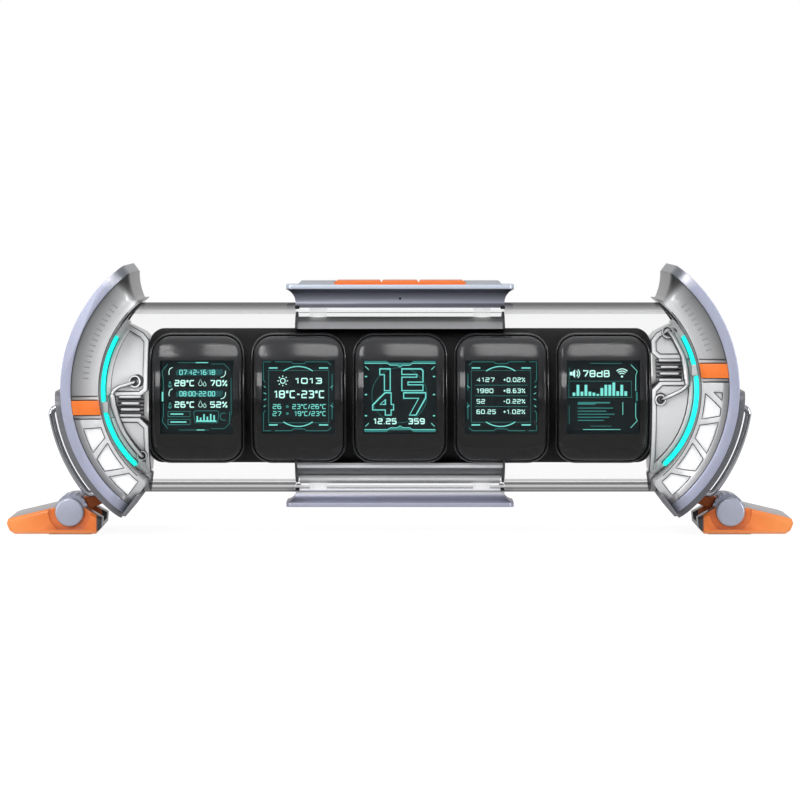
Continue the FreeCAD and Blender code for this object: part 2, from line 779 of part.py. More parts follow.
def rounded_block(x, half_x, z0, z1, radius, y0, y1):
    """A block with rounded corners seen from the front."""
    block = box(x - half_x, x + half_x, y0, y1, z0, z1)
    long_edges = [e for e in block.Edges if abs(e.BoundBox.YLength - (y1 - y0)) < 1e-6]
    return block.makeFillet(radius, long_edges)


def screen_x(i):
    """The middle of a screen."""
    return (i - (SCREEN_COUNT - 1) / 2) * SCREEN_PITCH


def bezel_block(i, inset, y0, y1):
    """The outline of one screen, inset from its bezel."""
    z0 = AXIS_HEIGHT + BEZEL_BOTTOM + inset
    z1 = AXIS_HEIGHT + BEZEL_TOP - inset
    half = BEZEL_WIDTH / 2 - inset
    return rounded_block(screen_x(i), half, z0, z1, BEZEL_CORNER - inset, y0, y1)


def screen_housing():
    """The dark front housing with a seat for each lens and display."""
    half = -screen_x(0) + BEZEL_WIDTH / 2
    z0 = AXIS_HEIGHT + BEZEL_BOTTOM
    z1 = AXIS_HEIGHT + HOUSING_TOP
    body = rounded_block(0, half, z0, z1, 4, -FAR, HOUSING_BACK)
    housing = body.common(tube_cylinder(HOUSING_R, -90, 90))
    for i in range(SCREEN_COUNT):
        bezel = bezel_block(i, 0, -FAR, -10).common(tube_cylinder(BEZEL_R, -90, 90))
        housing = housing.fuse(bezel)
    for i in range(SCREEN_COUNT):
        seat = bezel_block(i, LENS_INSET, -FAR, -10)
        seat = seat.cut(tube_cylinder(LENS_R - LENS_THICK - SEAT_GAP, -90, 90))
        housing = housing.cut(seat)
        middle = AXIS_HEIGHT + (BEZEL_BOTTOM + BEZEL_TOP) / 2
        wide = DISPLAY_WIDTH / 2 + SEAT_GAP
        tall = DISPLAY_HEIGHT / 2 + SEAT_GAP
        x = screen_x(i)
        back = DISPLAY_FRONT_Y + DISPLAY_THICK
        housing = housing.cut(box(x - wide, x + wide, -FAR, back, middle - tall, middle + tall))
    wall = HOUSING_WALL
    cavity = box(-half + wall, half - wall, HOUSING_FLOOR_Y, HOUSING_BACK, z0 + wall, z1 - wall)
    cavity = cavity.common(tube_cylinder(HOUSING_R - wall, -90, 90))
    return clean(housing.cut(cavity))


def lens(i):
    """One smoked lens, curved as the tube."""
    plate = bezel_block(i, LENS_INSET + SEAT_GAP, -FAR, -10)
    plate = plate.common(tube_cylinder(LENS_R, -90, 90))
    return plate.cut(tube_cylinder(LENS_R - LENS_THICK, -90, 90))


def display(i):
    """One display module behind its lens."""
    middle = AXIS_HEIGHT + (BEZEL_BOTTOM + BEZEL_TOP) / 2
    x = screen_x(i)
    back = DISPLAY_FRONT_Y + DISPLAY_THICK
    half = DISPLAY_WIDTH / 2
    tall = DISPLAY_HEIGHT / 2
    return box(x - half, x + half, DISPLAY_FRONT_Y, back, middle - tall, middle + tall)


def rear_cover():
    """The housing's back, a shallow tray with rounded edges."""
    half = -screen_x(0) + BEZEL_WIDTH / 2
    z0 = AXIS_HEIGHT + BEZEL_BOTTOM + 0.3
    z1 = AXIS_HEIGHT + HOUSING_TOP - 0.3
    tray = rounded_block(0, half, z0, z1, 4, HOUSING_BACK, COVER_DEPTH)
    rim = [e for e in tray.Edges if abs(e.BoundBox.YMin - COVER_DEPTH) < 1e-6]
    tray = tray.makeChamfer(COVER_EDGE_R, rim)
    wall = HOUSING_WALL
    return tray.cut(box(-half + 6, half - 6, HOUSING_BACK, COVER_DEPTH - wall, z0 + 6, z1 - 6))


def main_board():
    """The circuit board across the back of the displays."""
    middle = AXIS_HEIGHT + (BEZEL_BOTTOM + BEZEL_TOP) / 2
    half = BOARD_LENGTH / 2
    tall = BOARD_HEIGHT / 2
    board = box(-half, half, BOARD_Y, BOARD_Y + BOARD_THICK, middle - tall, middle + tall)
    for i in range(SCREEN_COUNT):
        x = screen_x(i)
        chip = box(x - 4, x + 4, BOARD_Y + BOARD_THICK, BOARD_Y + BOARD_THICK + 1.2, middle - 4, middle + 4)
        plug = box(x - 7, x + 7, HOUSING_FLOOR_Y, BOARD_Y, middle - 13, middle - 10)
        board = board.fuse(chip).fuse(plug)
    return board


def buzzer():
    """The alarm sounder on the board."""
    middle = AXIS_HEIGHT + (BEZEL_BOTTOM + BEZEL_TOP) / 2
    face = BOARD_Y + BOARD_THICK
    return cross_cylinder(5.0, 15.0, middle, face, face + 4.5)


def core_carrier():
    """The carrier inside the tube's middle, which holds the housing to the ridges."""
    block = tube_cylinder(CORE_R, -CORE_HALF, CORE_HALF)
    z0 = AXIS_HEIGHT + BEZEL_BOTTOM - SEAT_GAP
    z1 = AXIS_HEIGHT + HOUSING_TOP + SEAT_GAP
    core = block.cut(box(-FAR, FAR, -FAR, COVER_DEPTH + SEAT_GAP, z0, z1))
    core = core.cut(box(-FAR, FAR, -FAR, -CORE_FRONT, AXIS_HEIGHT - FAR, AXIS_HEIGHT + FAR))
    for x in (-BOSS_X, BOSS_X):
        for sign in (-1, 1):
            start = V(x, 0, AXIS_HEIGHT + sign * (CORE_R - 3))
            core = core.fuse(Part.makeCylinder(BOSS_R, TUBE_R - CORE_R + 2.8, start, V(0, 0, sign)))
            core = core.cut(Part.makeCylinder(SCREW_R, 12, start, V(0, 0, sign)))
    return clean(core)


def tube_space(short):
    """The room between the caps that the tube fills, less a margin at each end."""
    reach = TUBE_FLOOR_X - short
    middle = box(-reach, reach, -FAR, FAR, 0, 2 * AXIS_HEIGHT)
    edge = cap_cylinder(FLARE_INNER_R - short)
    return middle.fuse([edge, mirrored(edge)])


def clear_tube():
    """The clear tube, its ends curved to meet the caps."""
    reach = CAP_ARC_X + FLARE_INNER_R
    tube = tube_cylinder(TUBE_R, -reach, reach).cut(tube_cylinder(BORE_R, -reach, reach))
    tube = tube.common(tube_space(GASKET_THICK))
    for x in (-BOSS_X, BOSS_X):
        for sign in (-1, 1):
            start = V(x, 0, AXIS_HEIGHT + sign * (BORE_R - 2))
            tube = tube.cut(Part.makeCylinder(BOSS_R + SEAT_GAP, 8, start, V(0, 0, sign)))
    return tube


def tube_gasket():
    """The black ring between the tube's end and the flare."""
    ring = tube_cylinder(TUBE_R, END_NEAR, END_FAR).cut(tube_cylinder(CAP_BORE_R, END_NEAR, END_FAR))
    under = box(70, TUBE_FLOOR_X + 1.4, -FAR, FAR, 0, AXIS_HEIGHT)
    ring = ring.common(cap_cylinder(FLARE_INNER_R).fuse(under))
    return ring.cut(tube_space(GASKET_THICK)).cut(flare_block())


def ridge_body(height, sign):
    """A flanged rail that saddles the tube, above it or below it."""
    def up(z):
        return AXIS_HEIGHT + sign * z

    seat = TUBE_R - 4
    flange = height - RIDGE_FLANGE_THICK
    waist = (TUBE_R + flange) / 2 - 0.6

    def profile(foot, narrow, wide, place):
        low = [place(-foot, up(seat)), place(-foot, up(TUBE_R - 1.6))]
        bend = place(-narrow, up(waist))
        lip = place(-wide, up(flange))
        tip = place(-wide, up(height))
        other = [place(wide, up(height)), place(wide, up(flange)), place(narrow, up(waist))]
        foot_r = [place(foot, up(TUBE_R - 1.6)), place(foot, up(seat))]
        return [
            line(low[0], low[1]),
            arc(low[1], bend, lip),
            line(lip, tip),
            line(tip, other[0]),
            line(other[0], other[1]),
            arc(other[1], other[2], foot_r[0]),
            line(foot_r[0], foot_r[1]),
            line(foot_r[1], low[0]),
        ]

    side_view = profile(RIDGE_SEAT_DEPTH, RIDGE_WAIST_DEPTH, RIDGE_FLANGE_DEPTH, lambda y, z: V(-FAR, y, z))
    front_view = profile(RIDGE_HALF, RIDGE_HALF, RIDGE_FLANGE_HALF, lambda x, z: V(x, -FAR, z))
    along = Part.Face(Part.Wire(side_view)).extrude(V(2 * FAR, 0, 0))
    across = Part.Face(Part.Wire(front_view)).extrude(V(0, 2 * FAR, 0))
    ridge = along.common(across)
    corners = []
    for edge in ridge.Edges:
        if abs(edge.BoundBox.ZLength - RIDGE_FLANGE_THICK) < 1e-3:
            if edge.BoundBox.XLength < 1e-3 and edge.BoundBox.YLength < 1e-3:
                corners.append(edge)
    ridge = ridge.makeFillet(RIDGE_CORNER_R, corners)
    return ridge.cut(tube_cylinder(TUBE_R + RUNNING_GAP, -FAR, FAR))


def ridge_screw(x, sign, height):
    """A screw that pulls a ridge on to the carrier's boss."""
    start = V(x, 0, AXIS_HEIGHT + sign * (height - SCREW_HEAD - 0.1))
    down = V(0, 0, -sign)
    head = Part.makeCylinder(SCREW_HEAD_R, SCREW_HEAD, start, V(0, 0, sign))
    shank = Part.makeCylinder(SCREW_R - SEAT_GAP, 8, start, down)
    screw = head.fuse(shank)
    return screw.cut(Part.makeCylinder(0.9, 0.8, start + V(0, 0, sign * (SCREW_HEAD - 0.8)), V(0, 0, sign)))


def cut_screw_holes(ridge, sign, height):
    """Counterbored holes for the ridge's screws."""
    for x in (-BOSS_X, BOSS_X):
        base = V(x, 0, AXIS_HEIGHT + sign * (TUBE_R - 3))
        ridge = ridge.cut(Part.makeCylinder(SCREW_R, 12, base, V(0, 0, sign)))
        start = V(x, 0, AXIS_HEIGHT + sign * (height - SCREW_HEAD - 0.1))
        ridge = ridge.cut(Part.makeCylinder(SCREW_HEAD_R + SEAT_GAP, 6, start, V(0, 0, sign)))
    return ridge


def key_spans():
    """The three keys of the top row from left to right."""
    half = KEY_CENTRE_HALF
    inner = half + KEY_GAP
    return {
        "left": (-KEY_ROW_HALF, -inner),
        "centre": (-half, half),
        "right": (inner, KEY_ROW_HALF),
    }


def key_stem(x0, x1, grow, depth):
    """The stem that carries a key down into the ridge, or the well that it moves in."""
    x = (x0 + x1) / 2
    half = KEY_STEM_HALF + grow
    top = AXIS_HEIGHT + RIDGE_TOP
    return box(x - half, x + half, -half, half, top - depth, top + KEY_TRAVEL + KEY_STOP)


def key(name):
    """A push key with its stem."""
    x0, x1 = key_spans()[name]
    low = AXIS_HEIGHT + RIDGE_TOP + KEY_TRAVEL + KEY_STOP
    high = AXIS_HEIGHT + RIDGE_TOP + TOP_CAP_THICK + KEY_PROUD
    body = box(x0, x1, -TOP_CAP_DEPTH, TOP_CAP_DEPTH, low, high)
    rims = [e for e in body.Edges if abs(e.BoundBox.ZMin - high) < 1e-6]
    body = body.makeChamfer(0.3, rims)
    return body.fuse(key_stem(x0, x1, 0, KEY_STEM_DEPTH))


def top_ridge():
    """The upper rail, with wells for the keys and a hole for the microphone."""
    ridge = cut_screw_holes(ridge_body(RIDGE_TOP, 1), 1, RIDGE_TOP)
    for x0, x1 in key_spans().values():
        ridge = ridge.cut(key_stem(x0, x1, SLIDE_GAP, KEY_STEM_DEPTH + KEY_TRAVEL + KEY_STOP))
    z = AXIS_HEIGHT + TUBE_R + 1.4
    ridge = ridge.cut(Part.makeCylinder(MIC_HOLE_R, 5, V(0, -14, z), V(0, 1, 0)))
    return clean(ridge.cut(mic_capsule(SEAT_GAP)))


def mic_capsule(grow=0.0):
    """The microphone behind its pinhole."""
    z = AXIS_HEIGHT + TUBE_R + 2.2
    return Part.makeCylinder(1.5 + grow, 2.2 + grow, V(0, -9.0, z), V(0, 1, 0))


def top_cap():
    """The grey plate on the upper rail, open in the middle for the keys."""
    z = AXIS_HEIGHT + RIDGE_TOP
    plate = box(-TOP_CAP_HALF, TOP_CAP_HALF, -TOP_CAP_DEPTH, TOP_CAP_DEPTH, z, z + TOP_CAP_THICK)
    rims = [e for e in plate.Edges if abs(e.BoundBox.ZMin - z - TOP_CAP_THICK) < 1e-6]
    plate = plate.makeChamfer(TOP_CAP_CHAMFER, rims)
    half = KEY_ROW_HALF + SLIDE_GAP
    return plate.cut(box(-half, half, -FAR, FAR, z, z + 5))


def ridge_grommets():
    """Black rubber blocks under the rails' ends, against the tube."""
    blocks = []
    for x in (-RIDGE_HALF + 0.2, RIDGE_HALF - 1.6):
        for y in (-RIDGE_SEAT_DEPTH - 1.0, RIDGE_SEAT_DEPTH):
            for z in (TUBE_R - GROMMET_DROP, -TUBE_R + GROMMET_DROP - GROMMET_HEIGHT):
                block = box(x, x + 1.4, y, y + 1.0, AXIS_HEIGHT + z, AXIS_HEIGHT + z + GROMMET_HEIGHT)
                blocks.append(block.cut(tube_cylinder(TUBE_R, -FAR, FAR)))
    return blocks


def usb_box(grow=0.0):
    """The space of the power socket in the back of the right flare."""
    x = CAP_ARC_X + (FLARE_INNER_R + PLATE_INNER_R) / 2
    half = SOCKET_HALF_THICK + grow
    tall = SOCKET_HALF_WIDTH + grow
    back = FLARE_NECK_DEPTH + SEAT_GAP
    return box(x - half, x + half, back - SOCKET_DEPTH - grow, back, CAP_Z - tall, CAP_Z + tall)


def usb_socket():
    """The power socket's metal shell with its tongue."""
    shell = usb_box()
    long_edges = [e for e in shell.Edges if e.BoundBox.YLength > 1]
    shell = shell.makeFillet(1.5, long_edges)
    x = shell.BoundBox.Center.x
    floor = shell.BoundBox.YMin + 2
    half = SOCKET_HALF_THICK - 0.4
    tall = SOCKET_HALF_WIDTH - 0.5
    mouth = box(x - half, x + half, floor, FAR, CAP_Z - tall, CAP_Z + tall)
    tongue = box(x - 0.35, x + 0.35, floor, FLARE_NECK_DEPTH - 0.7, CAP_Z - tall + 0.8, CAP_Z + tall - 0.8)
    return shell.cut(mouth).fuse(tongue)


def build():
    """Every piece by its name."""
    pieces = {
        "clear_tube": clear_tube(),
        "core_carrier": core_carrier(),
        "screen_housing": screen_housing(),
        "rear_cover": rear_cover(),
        "main_board": main_board(),
        "buzzer": buzzer(),
        "mic_capsule": mic_capsule(),
        "usb_socket": usb_socket(),
        "top_ridge": top_ridge(),
        "top_cap": top_cap(),
        "bottom_ridge": cut_screw_holes(ridge_body(-RIDGE_BOTTOM, -1), -1, -RIDGE_BOTTOM),
        "ridge_grommets": Part.makeCompound(ridge_grommets()),
    }
    screws = [ridge_screw(x, 1, RIDGE_TOP) for x in (-BOSS_X, BOSS_X)]
    screws += [ridge_screw(x, -1, -RIDGE_BOTTOM) for x in (-BOSS_X, BOSS_X)]
    pieces["ridge_screws"] = Part.makeCompound(screws)
    for i in range(SCREEN_COUNT):
        pieces["lens_%d" % (i + 1)] = lens(i)
        pieces["display_%d" % (i + 1)] = display(i)
    for name in key_spans():
        pieces["key_" + name] = key(name)

    gaskets = []
    panes = []
    rings = []
    screws = []
    contacts = []
    barrels = []
    for side, cap in CAPS.items():
        bar = cap["bar"]
        flare = cap_flare(bar, cap["windows"])
        insert = face_insert(bar, cap["pipe"])
        if side == "right":
            flare = flare.cut(usb_box(SEAT_GAP))
            insert = insert.cut(usb_box(SEAT_GAP))
        by_side = {
            "cap_plate": cap_plate(),
            "cap_flare": flare,
            "face_insert": insert,
            "light_guides": Part.makeCompound(light_groove(bar)),
            "accent_bar": bar_block(bar),
            "fin_stack": fin_stack(bar),
            "chrome_pipe": chrome_pipe(cap["pipe"], cap["sleeve"]),
            "outer_strap": outer_strap(),
            "guard_wires": Part.makeCompound(guard_wires()),
            "hinge_arm": hinge_arm(),
            "hinge_pin": hinge_pin(),
            "hinge_discs": Part.makeCompound(hinge_discs()),
            "foot": foot(),
            "foot_pad": pad_block(),
        }
        for name, shape in by_side.items():
            pieces[name + "_" + side] = on_side(shape, side)
        gaskets.append(on_side(tube_gasket(), side))
        panes += [on_side(pane, side) for pane in window_panes(cap["windows"])]
        rings += [on_side(ring, side) for ring in ferrules(cap["pipe"])]
        screws += [on_side(screw, side) for screw in strap_screws()]
        contacts.append(on_side(contact_block(bar), side))
        barrels.append(on_side(hinge_barrel(), side))
    pieces["tube_gaskets"] = Part.makeCompound(gaskets)
    pieces["window_panes"] = Part.makeCompound(panes)
    pieces["pipe_ferrules"] = Part.makeCompound(rings)
    pieces["strap_screws"] = Part.makeCompound(screws)
    pieces["contact_blocks"] = Part.makeCompound(contacts)
    pieces["hinge_barrels"] = Part.makeCompound(barrels)
    return pieces


def main():
    """Writes one file for each piece."""
    os.makedirs("parts", exist_ok=True)
    pieces = build()
    for name, shape in pieces.items():
        if not shape.isValid() or shape.Volume <= 0:
            print("faulty piece:", name)
        shape.exportStep("parts/" + name + ".step")
    print(len(pieces), "pieces")


main()
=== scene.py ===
# %% [markdown]
# # A desk clock with five square screens in a clear tube
# The clock is a clear acrylic tube, as thick as a wrist, that lies between two flared metal end
# caps on orange folding feet. A black housing with five small square screens floats in the
# tube, and a rail with push keys rides on its back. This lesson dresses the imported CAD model:
# pieces whose form is right keep it and get a material, and the others are modelled again.

# %% Start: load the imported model
import json
import math
import bpy
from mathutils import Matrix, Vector

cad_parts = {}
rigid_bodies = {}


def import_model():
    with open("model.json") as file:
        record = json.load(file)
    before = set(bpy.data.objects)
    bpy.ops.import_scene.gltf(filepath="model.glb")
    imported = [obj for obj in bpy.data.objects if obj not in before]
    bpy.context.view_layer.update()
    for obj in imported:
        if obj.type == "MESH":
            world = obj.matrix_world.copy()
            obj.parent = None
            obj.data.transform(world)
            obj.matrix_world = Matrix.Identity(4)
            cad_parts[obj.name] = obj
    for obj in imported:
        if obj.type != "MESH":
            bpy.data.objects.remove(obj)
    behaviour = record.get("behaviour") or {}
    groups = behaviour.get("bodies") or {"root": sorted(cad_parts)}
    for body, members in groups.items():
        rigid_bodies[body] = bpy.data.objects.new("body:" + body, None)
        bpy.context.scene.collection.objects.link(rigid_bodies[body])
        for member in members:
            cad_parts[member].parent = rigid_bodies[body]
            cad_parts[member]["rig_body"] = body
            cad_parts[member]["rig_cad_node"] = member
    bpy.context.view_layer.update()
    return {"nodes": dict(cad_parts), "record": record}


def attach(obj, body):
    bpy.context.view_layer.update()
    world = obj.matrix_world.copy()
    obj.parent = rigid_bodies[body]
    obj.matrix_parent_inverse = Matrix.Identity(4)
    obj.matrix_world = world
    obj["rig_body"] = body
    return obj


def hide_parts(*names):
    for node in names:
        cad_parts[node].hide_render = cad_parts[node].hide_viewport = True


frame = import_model()
nodes = frame["nodes"]
print("CAD nodes:", len(nodes))

# %% [markdown]
# ## Camera
# The photograph was taken from straight ahead and a little above the tube. The flat ends of the
# caps show no side wall, so the camera stood far off: 1.6 m, with a long lens. It is made first,
# because every later choice is judged through it.

# %% Camera
MM = 0.001
CAMERA_PLACE = (0, -1.6, 0.1093)
LOOKS_AT = (0, 0, 0.0433)
LENS_MM = 218.0


def look(thing, place, aim):
    """Turns a camera or a lamp that stands at a place towards a point."""
    thing.rotation_euler = (Vector(aim) - Vector(place)).to_track_quat("-Z", "Y").to_euler()


bpy.ops.object.camera_add(location=CAMERA_PLACE)
camera = bpy.context.object
camera.name = "camera"
camera.data.lens = LENS_MM
look(camera, CAMERA_PLACE, LOOKS_AT)
bpy.context.scene.camera = camera
print("lens", camera.data.lens, "mm")

# %% [markdown]
# ## Colours and nodes
# Colours are written as on a screen, in sRGB hex, and one function turns them to linear light.
# One more adds a node with its settings and links, and takes a node for its first output. Sockets
# go by name, or by number where names repeat. In a Mix of colours 0 is the factor, 6 and 7 are the
# colours, and the result comes out at 2. In a Map Range 0 is the value, 1 and 2 are the range that
# it comes from and 3 and 4 the one that it goes to. In a Mix Shader 0 is the share of shader 2.

# %% Colour and node helpers
def colour(code):
    """A hex sRGB colour as linear RGBA."""
    parts = [int(code[i:i + 2], 16) / 255 for i in (1, 3, 5)]
    return [p / 12.92 if p <= 0.04045 else ((p + 0.055) / 1.055) ** 2.4 for p in parts] + [1.0]


def add(tree, kind, inputs=None, **settings):
    """Adds one node; inputs are values, or sockets or nodes to link."""
    node = tree.nodes.new("ShaderNode" + kind)
    for key, value in settings.items():
        setattr(node, key, value)
    for key, value in (inputs or {}).items():
        if isinstance(value, bpy.types.Node):
            value = value.outputs[0]
        if isinstance(value, bpy.types.NodeSocket):
            tree.links.new(value, node.inputs[key])
        else:
            node.inputs[key].default_value = value
    return node


def new_paint(name):
    """A material without nodes, and its tree."""
    paint = bpy.data.materials.new(name)
    paint.use_nodes = True
    paint.node_tree.nodes.clear()
    return paint, paint.node_tree


def far_from(tree, value, middle=0.0):
    """How far a value lies from the middle, up or down."""
    off = add(tree, "Math", {0: value, 1: middle}, operation="SUBTRACT")
    return add(tree, "Math", {0: off}, operation="ABSOLUTE")


WHITE = colour("#FFFFFF")

# %% [markdown]
# ## Floor and light
# The clock stands on a white sweep, as in a catalogue photograph. Paper lit for the clock would
# show grey, so the floor is white by itself for the camera and through the clear walls, dimmer in
# mirrors, and plain matt paper for the light that it throws back on the clock.

# %% Floor
FLOOR_Z = -0.0001  # a hair low, so that the floor never lies in the face of a foot pad


def any_ray(tree, *kinds):
    """1 for rays of one of these kinds, such as those that only show the background."""
    path = add(tree, "LightPath")
    found = path.outputs[kinds[0]]
    for kind in kinds[1:]:
        found = add(tree, "Math", {0: found, 1: path.outputs[kind]}, operation="MAXIMUM")
    return found


bpy.ops.mesh.primitive_plane_add(size=8, location=(0, 0, FLOOR_Z))
floor = bpy.context.object
floor.name = "floor"
floor_paper, tree = new_paint("white_paper")
floor.data.materials.append(floor_paper)
paper = add(tree, "BsdfDiffuse", {"Color": colour("#7A7A7A")})
shine = add(tree, "Emission", {"Color": WHITE, "Strength": 0.93})
bright = add(tree, "AddShader", {0: paper, 1: shine})
split = add(tree, "SeparateXYZ", {0: add(tree, "NewGeometry").outputs["Position"]})
near = add(tree, "MapRange", {0: split.outputs["Y"], 1: -0.2, 2: 0.15, 3: 0.07, 4: 0.7})
glimpse = add(tree, "Emission", {"Color": WHITE, "Strength": near})
shown = add(tree, "MixShader", {0: any_ray(tree, "Is Glossy Ray"), 1: bright, 2: glimpse})
matt = add(tree, "BsdfDiffuse", {"Color": colour("#F4F4F4")})
seen = any_ray(tree, "Is Camera Ray", "Is Glossy Ray", "Is Transmission Ray")
add(tree, "OutputMaterial", {"Surface": add(tree, "MixShader", {0: seen, 1: matt, 2: shown})})

print("floor laid")

# %% [markdown]
# ## World
# The room is not modelled: the world's colour stands for it. The camera sees plain white past the
# clock and through it. Mirrors see a dim room, a bright card round the camera and the pale sweep
# behind the clock, because a mirror with white on all sides would look like white paint.

# %% World
world = bpy.data.worlds.new("studio")
bpy.context.scene.world = world
world.use_nodes = True
tree = world.node_tree
tree.nodes.clear()
soft = add(tree, "Background", {"Color": colour("#E4E6EA"), "Strength": 0.6})
split = add(tree, "SeparateXYZ", {0: add(tree, "TexCoord").outputs["Generated"]})
up = add(tree, "MapRange", {0: split.outputs["Z"], 1: -0.2, 2: 0.9, 3: 0.10, 4: 0.42})
card = add(tree, "MapRange", {0: split.outputs["Y"], 1: -1.0, 2: -0.78, 3: 0.95, 4: 0.0},
           interpolation_type="SMOOTHSTEP")
level = add(tree, "Math", {0: up, 1: card}, operation="MAXIMUM")
room = add(tree, "Background", {"Color": colour("#E8EAF0"), "Strength": level})
sweep = add(tree, "Background", {"Color": WHITE, "Strength": 0.7})
behind = add(tree, "MapRange", {0: split.outputs["Y"], 1: -0.3, 2: 0.3}, interpolation_type="SMOOTHSTEP")
mirrored_room = add(tree, "MixShader", {0: behind, 1: room, 2: sweep})
lit_by = add(tree, "MixShader", {0: any_ray(tree, "Is Glossy Ray"), 1: soft, 2: mirrored_room})
plain = any_ray(tree, "Is Camera Ray", "Is Transmission Ray")
white = add(tree, "Background", {"Color": WHITE, "Strength": 1.0})
add(tree, "OutputWorld", {"Surface": add(tree, "MixShader", {0: plain, 1: lit_by, 2: white})})
bpy.context.scene.view_settings.view_transform = "Standard"
print("world made")

# %% [markdown]
# ## Lamps
# Five area lamps light the clock: two above, whose light lies in patches on the covers, one from
# the front left, and a tall one on each side that draws bright lines on the lacquer.

# %% Lamps
# The place, the point that the lamp looks at, its size in metres and its power in watts.
LAMPS = {
    "lamp_top_wide": ((0.09, -0.36, 1.0), (0.09, -0.359, 0.0), (0.32, 0.38), 1.7),
    "lamp_top_narrow": ((-0.29, -0.36, 1.0), (-0.29, -0.359, 0.0), (0.12, 0.38), 1.0),
    "lamp_front": ((-0.5, -1.3, 0.7), (0, 0, 0.05), (0.6, 0.5), 6),
    "lamp_left": ((-0.9, -0.5, 0.2), (0, 0, 0.05), (0.2, 0.7), 2.5),
    "lamp_right": ((0.9, -0.5, 0.2), (0, 0, 0.05), (0.2, 0.7), 3.2),
}
for name, (place, aim, size, power) in LAMPS.items():
    bpy.ops.object.light_add(type="AREA", location=place)
    light = bpy.context.object
    light.name = name
    light.data.shape = "RECTANGLE"
    light.data.size, light.data.size_y = size
    light.data.energy = power
    look(light, place, aim)
print("lamps made:", len(LAMPS))

# %% [markdown]
# ## Materials
# Most of the clock is metal under lacquer, and moulded plastic. Both are one colour with a very
# fine grain, so one function makes them: a noise a few tenths of a millimetre wide varies the
# colour, the roughness and a small bump. The values are those of the real finish.

# %% Finishes with a fine grain
AXIS_Z = 44.3
CAP_X, CAP_Z = 60.0, 48.0
GRAIN_MM = 0.3


def finish(name, code, metallic, roughness, bump=0.02, **sockets):
    """A moulded, lacquered or plated surface: one colour with a fine grain."""
    paint, tree = new_paint(name)
    grain = add(tree, "TexNoise", {"Vector": add(tree, "TexCoord").outputs["Object"],
                                   "Scale": 1000 / GRAIN_MM / 4, "Detail": 2.0}).outputs["Fac"]
    low, high = [[share * c for c in colour(code)] for share in (0.96, 1.04)]
    tint = add(tree, "Mix", {0: grain, 6: low, 7: high}, data_type="RGBA")
    rough = add(tree, "MapRange", {0: grain, 3: roughness * 0.9, 4: roughness * 1.1})
    dents = add(tree, "Bump", {"Strength": 0.15, "Distance": bump * MM, "Height": grain})
    skin = add(tree, "BsdfPrincipled", {
        "Base Color": tint.outputs[2], "Metallic": metallic, "Roughness": rough, "Normal": dents})
    for key, value in sockets.items():
        skin.inputs[key.replace("_", " ")].default_value = value
    add(tree, "OutputMaterial", {"Surface": skin})
    return paint


def skin_of(paint):
    """The principled shader of a finish."""
    return next(node for node in paint.node_tree.nodes if node.type == "BSDF_PRINCIPLED")


# %% [markdown]
# ## Patterns over a finish
# Lacquer is shaded by the form of its part, and some parts are moulded in more than one colour.
# Both become a pattern, painted shade as well as colour: a tint over the finish by the place on the
# object, in millimetres, so it stays on the piece from any side. On the caps the place is a radius
# and a turn about their middle.

# %% Patterns over a finish
def object_mm(tree):
    """The place on the object in millimetres, one output an axis."""
    place = add(tree, "TexCoord").outputs["Object"]
    scaled = add(tree, "VectorMath", {0: place, "Scale": 1 / MM}, operation="SCALE")
    return add(tree, "SeparateXYZ", {0: scaled}).outputs


def colour_along(tree, value, stops, kind="LINEAR"):
    """A colour that changes along a value: (value, colour) from low to high."""
    low, high = stops[0][0], stops[-1][0]
    share = add(tree, "MapRange", {0: value, 1: low, 2: high})
    blend = add(tree, "ValToRGB", {0: share})
    blend.color_ramp.interpolation = kind
    marks = blend.color_ramp.elements
    marks[0].color, marks[1].color = colour(stops[0][1]), colour(stops[-1][1])
    for place, code in stops[1:-1]:
        marks.new((place - low) / (high - low)).color = colour(code)
    return blend.outputs["Color"]


def repaint(paint, tint):
    """Lays a tint over a finish and keeps its grain."""
    tree, base = paint.node_tree, skin_of(paint).inputs["Base Color"]
    under = base.links[0].from_socket
    both = add(tree, "Mix", {0: 1.0, 6: under, 7: tint}, data_type="RGBA", blend_type="MULTIPLY")
    tree.links.new(both.outputs[2], base)
    return paint


def banded(paint, stops, kind="LINEAR"):
    """Tints a finish by the height over the table."""
    return repaint(paint, colour_along(paint.node_tree, object_mm(paint.node_tree)["Z"], stops, kind))


def cap_place(tree):
    """Radius in millimetres and turn in degrees over the level, about the nearer cap's middle."""
    axes = object_mm(tree)
    out = add(tree, "Math", {0: far_from(tree, axes["X"]), 1: CAP_X}, operation="SUBTRACT")
    over = add(tree, "Math", {0: axes["Z"], 1: CAP_Z}, operation="SUBTRACT")
    flat = add(tree, "CombineXYZ", {"X": out, "Y": over})
    radius = add(tree, "VectorMath", {0: flat}, operation="LENGTH")
    turn = add(tree, "Math", {0: over, 1: out}, operation="ARCTAN2")
    return radius.outputs["Value"], add(tree, "Math", {0: turn, 1: 180 / math.pi}, operation="MULTIPLY")


# %% [markdown]
# ## Lacquer of the caps
# The end caps are aluminium castings: the outer plate has a satin lavender lacquer, the flare a
# silver one. Painted shade darkens the flare towards the rim and at the neck, which turns up, with a
# painted highlight on the turn before it. The plate gets a painted highlight and a painted dark
# corner near its upper end, a painted light grey on the end that faces up, and painted shade at its
# lower end. Under the orange bar the flare is a white frame. The tint follows the radius and the
# turn about the cap's middle, as the shade on such a round casting does.

